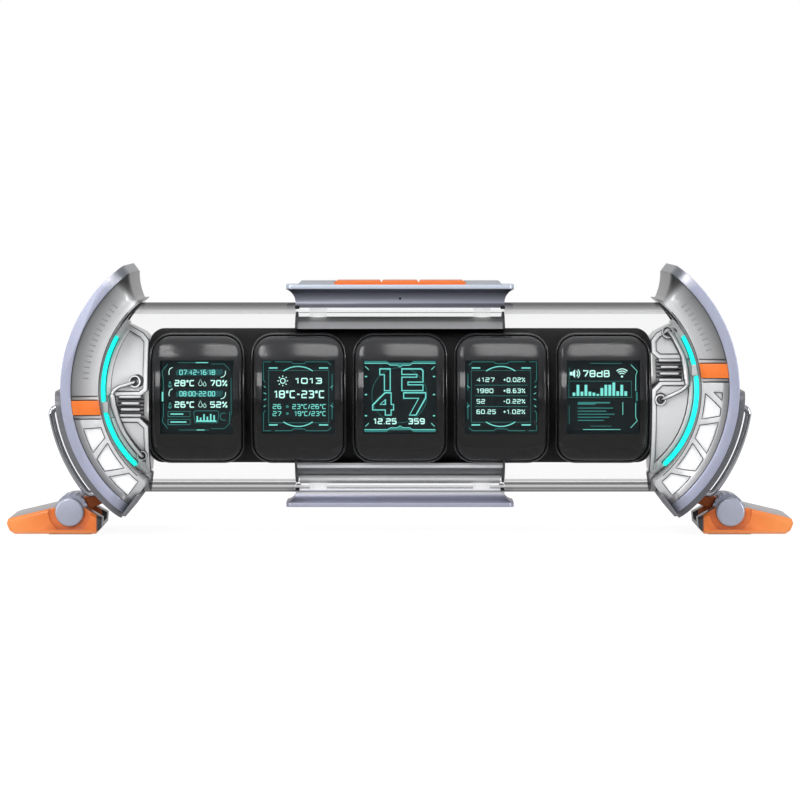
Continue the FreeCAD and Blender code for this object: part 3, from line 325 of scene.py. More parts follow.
# %% Lacquer of the caps
# Satin lacquer on cast aluminium: pale lavender, half metallic, broad soft highlights. By the turn:
# painted shade low down, a painted highlight and a painted dark corner near the top, and a painted
# light grey on the end.
lavender = finish("lavender_lacquer", "#FFFFFF", 0.5, 0.4, Coat_Weight=0.1)
tree = lavender.node_tree
repaint(lavender, colour_along(tree, cap_place(tree)[1], (
    (-90, "#A9ABBC"), (-56, "#A9ABBC"), (-45, "#BEC1D8"), (43, "#C4C8DE"), (46.5, "#E8E9F4"),
    (48.5, "#DCDDE8"), (50.5, "#84878E"), (52.5, "#75787D"), (55, "#A6A7A9"), (90, "#B4B5B7"))))

# Silver lacquer: painted shade makes it grey by the rim and pale by the tube, with a painted
# highlight on the turn before the neck and painted shade on the neck.
silver = finish("silver_lacquer", "#FFFFFF", 0.35, 0.36, Coat_Weight=0.2)
tree = silver.node_tree
radius, turn = cap_place(tree)
axes = object_mm(tree)
shade = colour_along(tree, radius, (
    (37.6, "#E4E4E4"), (39.5, "#DADADA"), (42.5, "#BEBEBE"), (45.2, "#9C9C9C"), (46.6, "#868688")))
# Under the bar a white frame, with painted shade towards the rim.
white_frame = colour_along(tree, radius, (
    (37.6, "#F2F2F2"), (44.3, "#EDEDED"), (45.0, "#A8A8AA"), (46.6, "#7E7E80")))
# The white frame ends at the orange bar, which stands higher on the right.
FRAME_TOP, RIGHT_RISE = 38.9, 11.4
rise = add(tree, "Math", {0: axes["X"], 1: 0.0}, operation="GREATER_THAN")
frame_top = add(tree, "Math", {0: rise, 1: RIGHT_RISE, 2: FRAME_TOP}, operation="MULTIPLY_ADD")
under = add(tree, "Math", {0: axes["Z"], 1: frame_top}, operation="LESS_THAN")
face = add(tree, "Mix", {0: under, 6: shade, 7: white_frame}, data_type="RGBA").outputs[2]
# Painted shade on the neck, which turns up, and a painted highlight on the turn before it.
neck_painted_shade = colour_along(tree, turn, (
    (38, "#FFFFFF"), (46.5, "#FFFFFF"), (49.0, "#8A8A8A"), (50.5, "#767676"), (90, "#727272")))
painted_turn_highlight = colour_along(tree, turn, (
    (41, "#000000"), (44.5, "#484848"), (46.0, "#505050"), (48.0, "#101010"), (90, "#000000")))
for blend, tint in (("MULTIPLY", neck_painted_shade), ("ADD", painted_turn_highlight), ("DARKEN", colour("#FAFAFA"))):
    face = add(tree, "Mix", {0: 1.0, 6: face, 7: tint}, data_type="RGBA", blend_type=blend).outputs[2]
repaint(silver, face)
print("cap lacquers made")

# %% [markdown]
# ## Lacquer of the rails
# The two rails on the tube are extruded, in the same lavender lacquer. Their long faces lie at
# fixed heights, so level bands of colour paint the shade in the hollows and the highlights on the
# edges of the profile.

# %% Lacquer of the rails
# Level bands: painted shade in the hollows, painted highlights and reflections on the edges.
rail_paint = banded(finish("rail_lacquer", "#FFFFFF", 0.5, 0.42, Coat_Weight=0.1), (
    (8.0, "#8E8FA0"), (8.9, "#C2C2D6"), (10.3, "#B8B8CC"), (10.5, "#8C8EA2"), (12.1, "#9496A8"),
    (12.5, "#C8C8DC"), (12.9, "#FFFFFF"), (13.3, "#FFFFFF"), (13.5, "#8C8E9A"), (13.9, "#A6A7AC"),
    (14.1, "#FFFFFF"), (14.6, "#FFFFFF"), (73.0, "#7A7B86"), (75.3, "#62626C"), (75.6, "#A4A6B4"),
    (77.2, "#8A8C98"), (79.2, "#50525E"), (80.2, "#5A5A66"), (80.4, "#DCE4F2"), (81.5, "#DCE4F2"),
    (84.0, "#C8CCD8")))

# Painted reflection: the polished bevel on the lower rail gets a little own light for the bright
# room under the tube that it would mirror.
tree, skin = rail_paint.node_tree, skin_of(rail_paint)
bevel = colour_along(tree, object_mm(tree)["Z"], (
    (8.0, "#000000"), (13.75, "#000000"), (14.0, "#9C9C9E"), (14.6, "#A8A8AA"), (15.0, "#000000")))
tree.links.new(bevel, skin.inputs["Emission Color"])
skin.inputs["Emission Strength"].default_value = 1.0
print("rail lacquer made")

# %% [markdown]
# ## Orange parts
# The feet are cast and lacquered in a glossy orange, and the keys are moulded in nearly the same
# colour. On a foot the tint paints shade in the scoop in front, a highlight on the lip under it and
# a grey sheen on the flat top by the way that it faces.

# %% Orange parts
# Orange lacquer, glossy, over cast metal: a strong colour with a thin bright edge.
orange = finish("orange_lacquer", "#FC7F2E", 0.05, 0.34, Coat_Weight=0.35)
# The keys: the same orange, moulded in plastic, a shade deeper.
key_orange = finish("orange_key_plastic", "#EE7630", 0.0, 0.42)
# The feet: the same lacquer, with a dark inner end, painted shade in the scoop, a painted highlight
# on the lip, a painted grey sheen on the faces that turn up, and lighter towards the outer tip.
FOOT_X = 108.3
foot_paint = finish("foot_lacquer", "#FFFFFF", 0.05, 0.34, Coat_Weight=0.35)
tree = foot_paint.node_tree
axes = object_mm(tree)
side = far_from(tree, axes["X"])
tone = colour_along(tree, side, ((97.0, "#3C3C3E"), (99.0, "#4A4A4C"), (99.4, "#FC8436"), (112.0, "#FC8436"),
                                 (126.0, "#FF9A50"), (130.0, "#FF9A50")))
wide = add(tree, "MapRange", {0: far_from(tree, side, FOOT_X), 1: 4.5, 2: 8.0, 3: 1.0, 4: 0.0})
tall = colour_along(tree, axes["Z"], (
    (0.0, "#000000"), (1.4, "#000000"), (1.8, "#D8D8D8"), (3.4, "#8A8A8A"), (5.2, "#000000")))
scoop_painted_shade = add(tree, "Math", {0: wide, 1: tall}, operation="MULTIPLY")
lip_painted_highlight = add(tree, "MapRange", {0: axes["Z"], 1: 1.0, 2: 1.5, 3: 0.6, 4: 0.0})
level = add(tree, "SeparateXYZ", {0: add(tree, "TexCoord").outputs["Normal"]})
top = add(tree, "MapRange", {0: level.outputs["Z"], 1: 0.75, 2: 0.9})
# Painted shade in the scoop, a painted highlight on the lip, a painted grey sheen on the top.
for share, code in ((scoop_painted_shade, "#C2540E"), (lip_painted_highlight, "#FFB478"), (top, "#9C8E8E")):
    tone = add(tree, "Mix", {0: share, 6: tone, 7: colour(code)}, data_type="RGBA").outputs[2]
repaint(foot_paint, tone)
print("orange parts made")

# %% [markdown]
# ## Plain and plated metal
# The other metals are one colour each: they differ in how metallic and how rough they are. Pipes
# and fins are nickel plate, with a painted highlight along the crest and painted shade on the
# flanks. Their tint follows the angle between the surface and the spoke from the tube's axis, so it
# is right on every bend.

# %% Plain and plated metal
# The arm is the same orange casting, painted a dark brown for the shade that it sits in.
arm_in_painted_shade = finish("orange_lacquer_in_painted_shade", "#A5521F", 0.3, 0.4)
# Chromium plate: bare metal, almost a mirror, so it shows bright and dark stripes.
chrome = finish("polished_chrome", "#E6E8EC", 1.0, 0.1, bump=0.0)
# The hinge is turned from aluminium and anodised: fine rings soften its highlight.
turned = finish("turned_aluminium", "#C4C8D8", 0.5, 0.34)
# The strap is a darker, rougher lacquer on steel.
strap_paint = finish("strap_lacquer", "#848487", 0.5, 0.42)
# Screws and pins are plain zinc-plated steel.
steel = finish("plain_steel", "#A8A8AC", 1.0, 0.3)


def shaded_round(name, flanks, crown, metallic, roughness):
    """A plated round bar on the tube's curve: a painted highlight along its crest, painted shade on its
    flanks.
    """
    plate = finish(name, "#FFFFFF", metallic, roughness, bump=0.0)
    tree = plate.node_tree
    axes = object_mm(tree)
    over = add(tree, "Math", {0: axes["Z"], 1: AXIS_Z}, operation="SUBTRACT")
    spoke = add(tree, "CombineXYZ", {"Y": axes["Y"], "Z": over})
    outward = add(tree, "VectorMath", {0: spoke}, operation="NORMALIZE")
    facing = add(tree, "TexCoord").outputs["Normal"]
    crest = add(tree, "VectorMath", {0: facing, 1: outward}, operation="DOT_PRODUCT")
    return repaint(plate, colour_along(tree, crest.outputs["Value"], (
        (-1.0, flanks), (0.62, flanks), (0.8, "#A8A8AA"), (0.9, crown), (1.0, crown))))


# The pipes, rings and fins stand close to the tiles: nickel plate with painted shade on the flanks.
pipe_plate = shaded_round("nickel_pipe", "#4C4D50", "#FFFFFF", 0.35, 0.3)
fin_plate = shaded_round("nickel_fin", "#58595B", "#F0F0F0", 0.3, 0.4)
# The block between the fins is the same nickel in shade.
fin_block = finish("nickel_block", "#8C8C8E", 0.1, 0.5)
print("metals made")

# %% [markdown]
# ## Plastics and rubber
# The moulded parts are ABS and polycarbonate. Plastic has no colour in its highlight and a soft
# gloss. The carrier in the tube is moulded in two greys, which lie in level bands, with darker bands
# of painted shade under the housing and near the top.

# %% Plastics and rubber
# White ABS with a pearl gloss: the insert's frames and tiles.
pearl = finish("pearl_plastic", "#FAFAFA", 0.0, 0.32, Coat_Weight=0.15)
# Grey ABS: the cap on the upper rail.
cap_plastic = finish("grey_plastic", "#A2A6AA", 0.1, 0.42)
# Milky polycarbonate: the panes in the white frame, with a faint painted glow that keeps them
# white.
pane_plastic = finish("milky_plastic", "#FAFAFA", 0.0, 0.35, Emission_Strength=0.12)
# The shade in a narrow gap between two parts: matt and nearly black.
seam_dark = finish("seam_shadow", "#474749", 0.0, 0.6)
# Marks cut into the flare show as the same silver in shade.
mark_grey = finish("engraved_shade", "#A2A2A2", 0.2, 0.5)
# Moulded rubber, matt black.
rubber = finish("black_rubber", "#1C1C1E", 0.0, 0.7)
# Solder mask over a circuit board: glossy dark green.
board_mask = finish("green_solder_mask", "#0E4A2C", 0.0, 0.35)
# The buzzer's case: plain black plastic.
buzzer_black = finish("buzzer_plastic", "#151515", 0.0, 0.5)
# The screens' housing: black ABS with a fine moulded texture, which swallows the light.
satin_black = finish("satin_black_plastic", "#0F0F10", 0.0, 0.6, Specular_IOR_Level=0.22)
# The rims round the screens: the same black, polished, so a thin line of light runs along them.
rim_black = finish("polished_black_plastic", "#1B1B1C", 0.0, 0.26, Coat_Weight=0.3)
# The tube's seals: black rubber at the top of the cap, and a grey one lower down.
seal = banded(finish("tube_seal", "#FFFFFF", 0.0, 0.5), (
    (10.0, "#A4A4A6"), (68.5, "#8C8C8E"), (70.0, "#161616"), (80.0, "#101010")))
# The carrier: moulded grey ABS in level bands, with painted shade under the housing and near the
# top.
carrier_grey = banded(finish("carrier_plastic", "#FFFFFF", 0.1, 0.4), (
    (0.0, "#FFFFFF"), (18.05, "#C4C4C4"), (18.5, "#808080"), (20.2, "#68686A"), (21.4, "#FFFFFF"),
    (22.2, "#C6C6C8"), (44.0, "#AEAEB0"), (69.3, "#8A8C8A"), (80.0, "#8A8C8A")), "CONSTANT")
print("plastics made")

# %% [markdown]
# ## Clear acrylic
# The tube is drawn as a thin see-through skin that darkens where the eye looks along it, because
# bent rays there show the dark sides of the room. Real acrylic would bend the picture of the
# screens too, but so little in front that a straight view is right. Each crossing of the wall is
# coloured by how much it faces the eye, so the edges show the stripes of a thick clear wall. Under
# the rails the pale saddles shine through, and the wall stays clear.

# %% Clear acrylic
RAIL_HALF = 34.4
LEAST_SHARE = 0.002


def within(tree, value, middle, half):
    """1 where a value lies within half of the middle, with a sharp edge."""
    return add(tree, "Math", {0: far_from(tree, value, middle), 1: half}, operation="LESS_THAN")


def clear_wall(name, upper, lower, middle, gloss):
    """A polished see-through wall that darkens in stripes where it is seen edge on."""
    wall, tree = new_paint(name)
    facing = add(tree, "LayerWeight", {"Blend": 0.5}).outputs["Facing"]
    axes = object_mm(tree)
    above = add(tree, "Math", {0: axes["Z"], 1: AXIS_Z}, operation="GREATER_THAN")
    tint = add(tree, "Mix", {0: above, 6: colour_along(tree, facing, lower),
                             7: colour_along(tree, facing, upper)}, data_type="RGBA")
    tint = add(tree, "Mix", {0: within(tree, axes["X"], 0.0, RAIL_HALF), 6: tint.outputs[2],
                             7: colour_along(tree, facing, middle)}, data_type="RGBA")
    through = add(tree, "BsdfTransparent", {"Color": tint.outputs[2]})
    mirror = add(tree, "BsdfGlossy", {"Color": WHITE, "Roughness": 0.04})
    graze = add(tree, "Math", {0: facing, 1: 5.0}, operation="POWER")
    # Below a small share the wall mirrors nothing: rare mirror rays would only speckle the screens.
    share = add(tree, "Math", {0: graze, 1: gloss, 2: -LEAST_SHARE}, operation="MULTIPLY_ADD", use_clamp=True)
    add(tree, "OutputMaterial", {"Surface": add(tree, "MixShader", {0: share, 1: through, 2: mirror})})
    return wall


acrylic = clear_wall(
    "acrylic_outside",
    ((0.0, "#FCFCFC"), (0.595, "#FCFCFC"), (0.603, "#D2D2D2"), (0.657, "#C1C1C2"), (0.715, "#ADADAE"),
     (0.775, "#959596"), (0.83, "#747475"), (0.92, "#4C4C4E"), (1.0, "#404042")),
    ((0.0, "#FCFCFC"), (0.598, "#FCFCFC"), (0.616, "#A6A6A8"), (0.64, "#E0E0E0"), (0.67, "#E1E1E1"),
     (0.702, "#BABABA"), (0.737, "#A6A6A6"), (0.781, "#C2C2C2"), (0.835, "#ACACAC"), (0.868, "#505052"),
     (1.0, "#404042")), ((0.0, "#FCFCFC"), (1.0, "#FCFCFC")), 0.5)
acrylic_bore = clear_wall(
    "acrylic_bore",
    ((0.0, "#FCFCFC"), (0.69, "#FCFCFC"), (0.705, "#F4F4F4"), (0.738, "#E2E2E2"), (0.775, "#EEEEEE"),
     (0.856, "#E3E3E3"), (1.0, "#DCDCDC")),
    ((0.0, "#FCFCFC"), (0.66, "#FCFCFC"), (0.681, "#E3E3E3"), (0.726, "#DCDCDC"), (0.766, "#F4F4F4"),
     (0.814, "#D6D6D6"), (0.845, "#7E7E80"), (0.93, "#7E7E80"), (1.0, "#A0A0A0")),
    ((0.0, "#FCFCFC"), (0.735, "#FCFCFC"), (0.752, "#CCCCCE"), (0.775, "#CCCCCE"), (0.792, "#FCFCFC"),
     (1.0, "#FCFCFC")), 0.1)
# The tube's sawn ends are frosted and show dark.
acrylic_end = finish("acrylic_sawn_end", "#3A3A3C", 0.0, 0.3)

# %% [markdown]
# ## Smoked covers and lit pixels
# Each cover is smoked polycarbonate, printed black on the inside but for a square window. Outside
# the window it is a glossy black skin, painted a little lighter towards the top for the light from
# above, and the window is seen through. The pixels give their own light, so they stay readable in
# shade.

# %% Smoked covers and lit pixels
PITCH = 33.06
WINDOW_HALF = 11.9
WINDOW_Z = 45.3

smoke, tree = new_paint("smoked_polycarbonate")
axes = object_mm(tree)
local = add(tree, "Math", {0: axes["X"], 1: PITCH / 2, 2: -PITCH / 2}, operation="WRAP")
inside = add(tree, "Math", {0: within(tree, local, 0.0, WINDOW_HALF),
                            1: within(tree, axes["Z"], WINDOW_Z, WINDOW_HALF)}, operation="MULTIPLY")
smear = add(tree, "TexNoise", {
    "Vector": add(tree, "TexCoord").outputs["Object"], "Scale": 90.0, "Detail": 3.0})
polish = add(tree, "MapRange", {0: smear.outputs["Fac"], 3: 0.1, 4: 0.15})
# Painted light: the black grows lighter towards the top, which faces the light above.
depth = colour_along(tree, axes["Z"], (
    (23.0, "#202021"), (45.0, "#242425"), (57.0, "#2C2C2D"), (64.0, "#3A3A3B")))
print_ink = add(tree, "BsdfPrincipled", {"Base Color": depth, "Roughness": polish})
see = add(tree, "BsdfTransparent", {"Color": WHITE})
add(tree, "OutputMaterial", {"Surface": add(tree, "MixShader", {0: inside, 1: print_ink, 2: see})})


def lit(name, code, strength, base="#041012"):
    """A surface that gives its own light."""
    ink = finish(name, base, 0.0, 0.3)
    skin = skin_of(ink)
    skin.inputs["Emission Color"].default_value = colour(code)
    skin.inputs["Emission Strength"].default_value = strength
    return ink


# The carrier's pegs: milky plastic with a painted glow, so they stay white in the shade round
# the tube.
peg_white = lit("milky_peg", "#FFFFFF", 0.62, "#F4F4F4")
# The grommets: milky silicone round the pegs with the same painted glow, and black ones at the
# rails' ends.
grommet_paint = lit("grommet_silicone", "#FFFFFF", 0.62, "#FFFFFF")
tree = grommet_paint.node_tree
tone = colour_along(tree, far_from(tree, object_mm(tree)["X"]), (
    (0.0, "#F4F4F4"), (30.9, "#F4F4F4"), (31.1, "#0C0C0C"), (40.0, "#0C0C0C")))
repaint(grommet_paint, tone)
tree.links.new(tone, skin_of(grommet_paint).inputs["Emission Color"])
# The light guide: clear plastic lit from its ends, one even cyan.
glow = lit("cyan_light_guide", "#19F3E2", 0.8, "#19F3E2")
# The unlit display: black with a trace of green.
display_black = lit("display_glass", "#0A1517", 0.8, "#050C0E")
# Lit pixels in four strengths, from nearly white figures to the faint fields behind them.
white_ink = lit("figure_pixels", "#C6FFF4", 1.15)
bright_ink = lit("lit_pixels", "#7FEBDF", 1.05)
dim_ink = lit("dim_pixels", "#3C8F8A", 0.85)
deep_ink = lit("field_pixels", "#1C5558", 0.8)
print("covers and pixels made")

# %% [markdown]
# ## Materials on the CAD nodes
# The record names a material slot for each node. Every slot gets its finish here.

# %% Materials on the CAD nodes
PAINTS = {
    "clear_plastic": acrylic, "black_satin": satin_black, "carrier_grey": carrier_grey, "smoked_lens": smoke,
    "display": display_black, "lavender_metal": lavender, "silver_satin": silver, "pearl_insert": pearl,
    "cyan_light": glow, "orange": orange, "dark_arm": arm_in_painted_shade, "chrome": chrome, "hinge_metal": turned,
    "strap_metal": strap_paint, "cap_grey": cap_plastic, "milky_pane": pane_plastic, "rubber": rubber,
    "steel": steel, "board_green": board_mask, "buzzer_black": buzzer_black,
}
for part in frame["record"]["subparts"]:
    shape = nodes[part["node"]].data
    shape.materials.clear()
    shape.materials.append(PAINTS[part["material_slot"]])
OWN_PAINT = {
    "top_ridge": rail_paint, "bottom_ridge": rail_paint, "tube_gaskets": seal, "mic_capsule": rubber,
    "ridge_grommets": grommet_paint, "contact_blocks": pearl, "pipe_ferrules": seam_dark,
    "key_left": key_orange, "key_centre": key_orange, "key_right": key_orange,
    "fin_stack_left": fin_block, "fin_stack_right": fin_block,
    "foot_left": foot_paint, "foot_right": foot_paint,
}
for name, paint in OWN_PAINT.items():
    nodes[name].data.materials[0] = paint
print("slots painted:", len(PAINTS))

# %% [markdown]
# ## Rounded edges
# CAD solids end in knife edges, which catch no light. Real mouldings and castings have small
# radii. A copy of the node is welded, its flat triangles are merged, and a bevel modifier rounds
# every sharp edge. The copy stands for the node.

# %% A rounded copy of a node
def pick_only(*chosen):
    """Selects these objects alone; the first is active."""
    bpy.ops.object.select_all(action="DESELECT")
    for piece in chosen:
        piece.select_set(True)
    bpy.context.view_layer.objects.active = chosen[0]


def smooth(piece, degrees):
    """Shades a piece smooth, but for edges sharper than an angle."""
    pick_only(piece)
    bpy.ops.object.shade_smooth_by_angle(angle=math.radians(degrees))


def welded_copy(node, name):
    """A copy of a CAD node with its triangles welded and its flat faces merged."""
    pick_only(nodes[node])
    bpy.ops.object.duplicate()
    piece = bpy.context.object
    piece.name = name
    body = piece["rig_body"]
    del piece["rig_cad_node"]
    piece.parent = None
    bpy.ops.object.mode_set(mode="EDIT")
    bpy.ops.mesh.select_all(action="SELECT")
    bpy.ops.mesh.customdata_custom_splitnormals_clear()
    bpy.ops.mesh.remove_doubles(threshold=2e-6)
    bpy.ops.mesh.dissolve_limited(angle_limit=math.radians(0.6))
    bpy.ops.object.mode_set(mode="OBJECT")
    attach(piece, body)
    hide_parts(node)
    return piece


EDGE_STEPS = 3
SHARP_FROM = 28  # degrees between the faces at an edge


def round_edges(node, radius_mm):
    """Stands a rounded copy in for a node."""
    piece = welded_copy(node, node + "_rounded")
    pick_only(piece)
    bevel = piece.modifiers.new("bevel", "BEVEL")
    bevel.width = radius_mm * MM
    bevel.segments = EDGE_STEPS
    bevel.limit_method = "ANGLE"
    bevel.angle_limit = math.radians(SHARP_FROM)
    bevel.harden_normals = False
    bpy.ops.object.modifier_apply(modifier=bevel.name)
    smooth(piece, 35)


# The radius of each piece's edges in millimetres.
EDGES = {"cap_plate": 0.7, "cap_flare": 0.35, "outer_strap": 0.5, "foot": 0.35, "accent_bar": 0.3,
         "face_insert": 0.15, "fin_stack": 0.12, "hinge_discs": 0.25, "hinge_arm": 0.4}
for side in ("left", "right"):
    for name, edge in EDGES.items():
        round_edges(name + "_" + side, edge)
    smooth(welded_copy("guard_wires_" + side, "guard_wire_" + side), 50)
for name in ("top_ridge", "bottom_ridge", "top_cap", "key_left", "key_centre", "key_right"):
    round_edges(name, 0.25)
print("rounded pieces made")

# %% [markdown]
# ## Clear tube
# The real tube is extruded acrylic, polished on its ends. Its CAD solid has the right holes, so a
# welded copy with smooth shading is enough. It is seen through, and its edges look grey because
# there the eye looks along the wall.

# %% Clear tube
SAWN_X = 90  # beyond this lie only the tube's sawn ends
tube = welded_copy("clear_tube", "acrylic_tube")
tube.data.materials.append(acrylic_bore)
tube.data.materials.append(acrylic_end)
for face in tube.data.polygons:
    middle = face.center / MM
    over = middle.z - AXIS_Z
    outward = (face.normal.y * middle.y + face.normal.z * over) / math.hypot(middle.y, over)
    inner = outward < -0.7 or abs(middle.x) <= SAWN_X
    face.material_index = 0 if outward > 0.7 else 1 if inner else 2
smooth(tube, 30)
print("tube faces", len(tube.data.polygons))

# %% [markdown]
# ## Carrier
# The grey carrier holds the screens' housing, and its round bosses reach through the wall of the
# tube to the rails. The bosses are white with a painted glow, so they hardly show in front of the
# white room: a welded copy gets a second material on the faces that lie outside the carrier's own
# round.

# %% Carrier
CARRIER_R = 26.7
carrier = welded_copy("core_carrier", "grey_carrier")
carrier.data.materials.append(peg_white)
for face in carrier.data.polygons:
    middle = face.center / MM
    if math.hypot(middle.y, middle.z - AXIS_Z) > CARRIER_R:
        face.material_index = 1
smooth(carrier, 30)
print("carrier faces", len(carrier.data.polygons))

# %% [markdown]
# ## A skin through rings
# Cushion shapes such as the lenses are not a primitive with a bevel: every ring of the shape has
# its own outline and height. A grid primitive gives the faces, its vertices are set ring by ring,
# the seam is merged and the two ends are filled.

# %% A skin through rings of points
def dress(piece, paint):
    """Gives a new piece its finish; it rides on the clock."""
    piece.data.materials.clear()
    piece.data.materials.append(paint)
    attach(piece, "clock")
    return piece


def from_rings(name, rings, paint, sharp=40):
    """A closed skin through rings of points in millimetres."""
    around = len(rings[0])
    bpy.ops.object.select_all(action="DESELECT")
    bpy.ops.mesh.primitive_grid_add(x_subdivisions=around, y_subdivisions=len(rings) - 1, size=0.1)
    piece = bpy.context.object
    piece.name = name
    vertices = piece.data.vertices
    for row, ring in enumerate(rings):
        for column in range(around + 1):
            vertices[row * (around + 1) + column].co = Vector(ring[column % around]) * MM
    bpy.ops.object.mode_set(mode="EDIT")
    bpy.ops.mesh.select_all(action="SELECT")
    bpy.ops.mesh.remove_doubles(threshold=1e-6)
    bpy.ops.mesh.fill_holes(sides=0)
    bpy.ops.mesh.select_all(action="SELECT")
    bpy.ops.mesh.normals_make_consistent(inside=False)
    bpy.ops.object.mode_set(mode="OBJECT")
    smooth(piece, sharp)
    return dress(piece, paint)


# %% [markdown]
# ## Lenses and their rims
# Each screen has a cushion-like cover of smoked polycarbonate: it follows the round of the tube,
# is crowned from side to side, and its edge rolls down into a groove. A satin rim stands round the
# groove. Both are rings of one rounded outline, each ring a little further in and at its own radius.

# %% Lenses and rims
BEZEL_HALF, BEZEL_LOW, BEZEL_HIGH = 15.65, -21.0, 21.6
CORNER_R = 7.0
CORNER_STEPS, SIDE_STEPS = 8, 14


def drum_y(radius, over):
    """The depth of a drum about the tube's axis, at a height over the axis."""
    return -math.sqrt(max(0.0, radius ** 2 - over ** 2))


def bezel(move):
    """The bezel's rounded outline, moved in, as points (x, z) about the screen's middle."""
    half, low, high = BEZEL_HALF - move, BEZEL_LOW + move, BEZEL_HIGH - move
    r = max(CORNER_R - move, 1.0)
    corners = ((half - r, high - r), (r - half, high - r), (r - half, low + r), (half - r, low + r))
    starts = ((r - half, high), (-half, low + r), (half - r, low), (half, high - r))
    points = []
    for turn, ((cx, cz), (x1, z1)) in enumerate(zip(corners, starts)):
        for step in range(CORNER_STEPS + 1):
            angle = math.pi / 2 * (turn + step / CORNER_STEPS)
            points.append((cx + r * math.cos(angle), cz + r * math.sin(angle)))
        x0, z0 = points[-1]
        for share in [step / SIDE_STEPS for step in range(1, SIDE_STEPS)]:
            points.append((x0 + (x1 - x0) * share, z0 + (z1 - z0) * share))
    return points


def cushion(name, rows, middle_x, paint):
    """A skin of bezel outlines on drums, from rows of (inset, radius, crown, scale)."""
    middle_z = (BEZEL_LOW + BEZEL_HIGH) / 2
    rings = []
    for move, radius, crown, scale in rows:
        ring = []
        for x, z in bezel(move):
            x, z = x * scale, middle_z + (z - middle_z) * scale
            lift = crown * (1 - (x / BEZEL_HALF) ** 2)
            ring.append((middle_x + x, drum_y(radius + lift, z), AXIS_Z + z))
        rings.append(ring)
    return from_rings(name, rings, paint)


# From the hidden back over the rolled edge to the middle of the front.
COVER = [(2.4, 25.2, 0.8, scale) for scale in (0.04, 0.35, 0.7)]
COVER += [(0.98, 25.2, 0.0, 1.0), (1.0, 26.2, 0.0, 1.0), (1.08, 26.55, 1.0, 1.0), (1.3, 26.85, 1.0, 1.0),
          (1.7, 27.05, 1.0, 1.0), (2.4, 27.15, 1.0, 1.0)]
COVER += [(2.4, 27.15 + 0.12 * (1 - scale), 1.0, scale) for scale in (0.9, 0.75, 0.6, 0.45, 0.3, 0.15, 0.04)]
RIM = [(move, radius, 0.0, 1.0) for move, radius in (
    (0.95, 24.6), (0.93, 25.9), (0.82, 26.35), (0.62, 26.62), (0.38, 26.66), (0.16, 26.5), (0.02, 26.1),
    (-0.02, 25.2), (-0.02, 24.2))]
for number in range(1, 6):
    middle = (number - 3) * PITCH
    cover = cushion("smoked_cover_{}".format(number), COVER, middle, smoke)
    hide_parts("lens_{}".format(number))
    cushion("cover_rim_{}".format(number), RIM, middle, rim_black)
print("five covers and rims")

# %% [markdown]
# ## Screen drawings
# The displays show plain figures in cyan. Lines and figures are curves with a bevel, pressed flat,
# and filled shapes are flat curves; all become meshes. They lie a hair in front of the display
# glass. Sizes are millimetres from the middle of the lit square.

# %% Ink on a screen
INK_Y = -20.42
PRESSED = 0.1


def curve_piece(name, paths, thick, resolution, closed):
    """A mesh along paths of (place, width) in millimetres: round rods, or flat fills if not thick."""
    data = bpy.data.curves.new(name, "CURVE")
    data.dimensions, data.fill_mode = ("3D", "FULL") if thick else ("2D", "FRONT")
    data.bevel_depth = thick / 2 * MM
    data.bevel_resolution = resolution
    data.use_fill_caps = True
    for path in paths:
        line = data.splines.new("POLY")
        line.points.add(len(path) - 1)
        for point, (place, width) in zip(line.points, path):
            point.co = (*[c * MM for c in place], 1)
            point.radius = width
        line.use_cyclic_u = closed
    piece = bpy.data.objects.new(name, data)
    bpy.context.scene.collection.objects.link(piece)
    pick_only(piece)
    bpy.ops.object.convert(target="MESH")
    return bpy.context.object


def ink_curve(screen, shapes, paint, width=0.0, ahead=0.0):
    """Open lines of one width, or closed shapes with a fill, on one screen."""
    paths = [[((x, z, 0), 1.0) for x, z in points] for points in shapes]
    piece = curve_piece("ink", paths, width, 1, not width)
    piece.rotation_euler = (math.pi / 2, 0, 0)
    piece.location = ((screen - 3) * PITCH * MM, (INK_Y - ahead) * MM, WINDOW_Z * MM)
    bpy.ops.object.transform_apply(location=True, rotation=True, scale=True)
    for vertex in piece.data.vertices:
        depth = vertex.co.y / MM - INK_Y + ahead
        vertex.co.y = (INK_Y - ahead + PRESSED * depth) * MM
    piece.data.materials.clear()
    piece.data.materials.append(paint)
    return piece


def draw_screen(number, rows):
    """Draws rows of (shapes, paint, width, ahead) on one screen and joins them into one piece."""
    pick_only(*[ink_curve(number, *row) for row in rows])
    bpy.ops.object.join()
    ink = bpy.context.object
    ink.name = "screen_{}_ink".format(number)
    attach(ink, "clock")


# %% [markdown]
# ## Figures
# A font would look like print. The figures of such a display are square, so each sign is a few
# strokes on a small field, with points (x, height) from 0 to 1, and one function fits a text into
# a box.

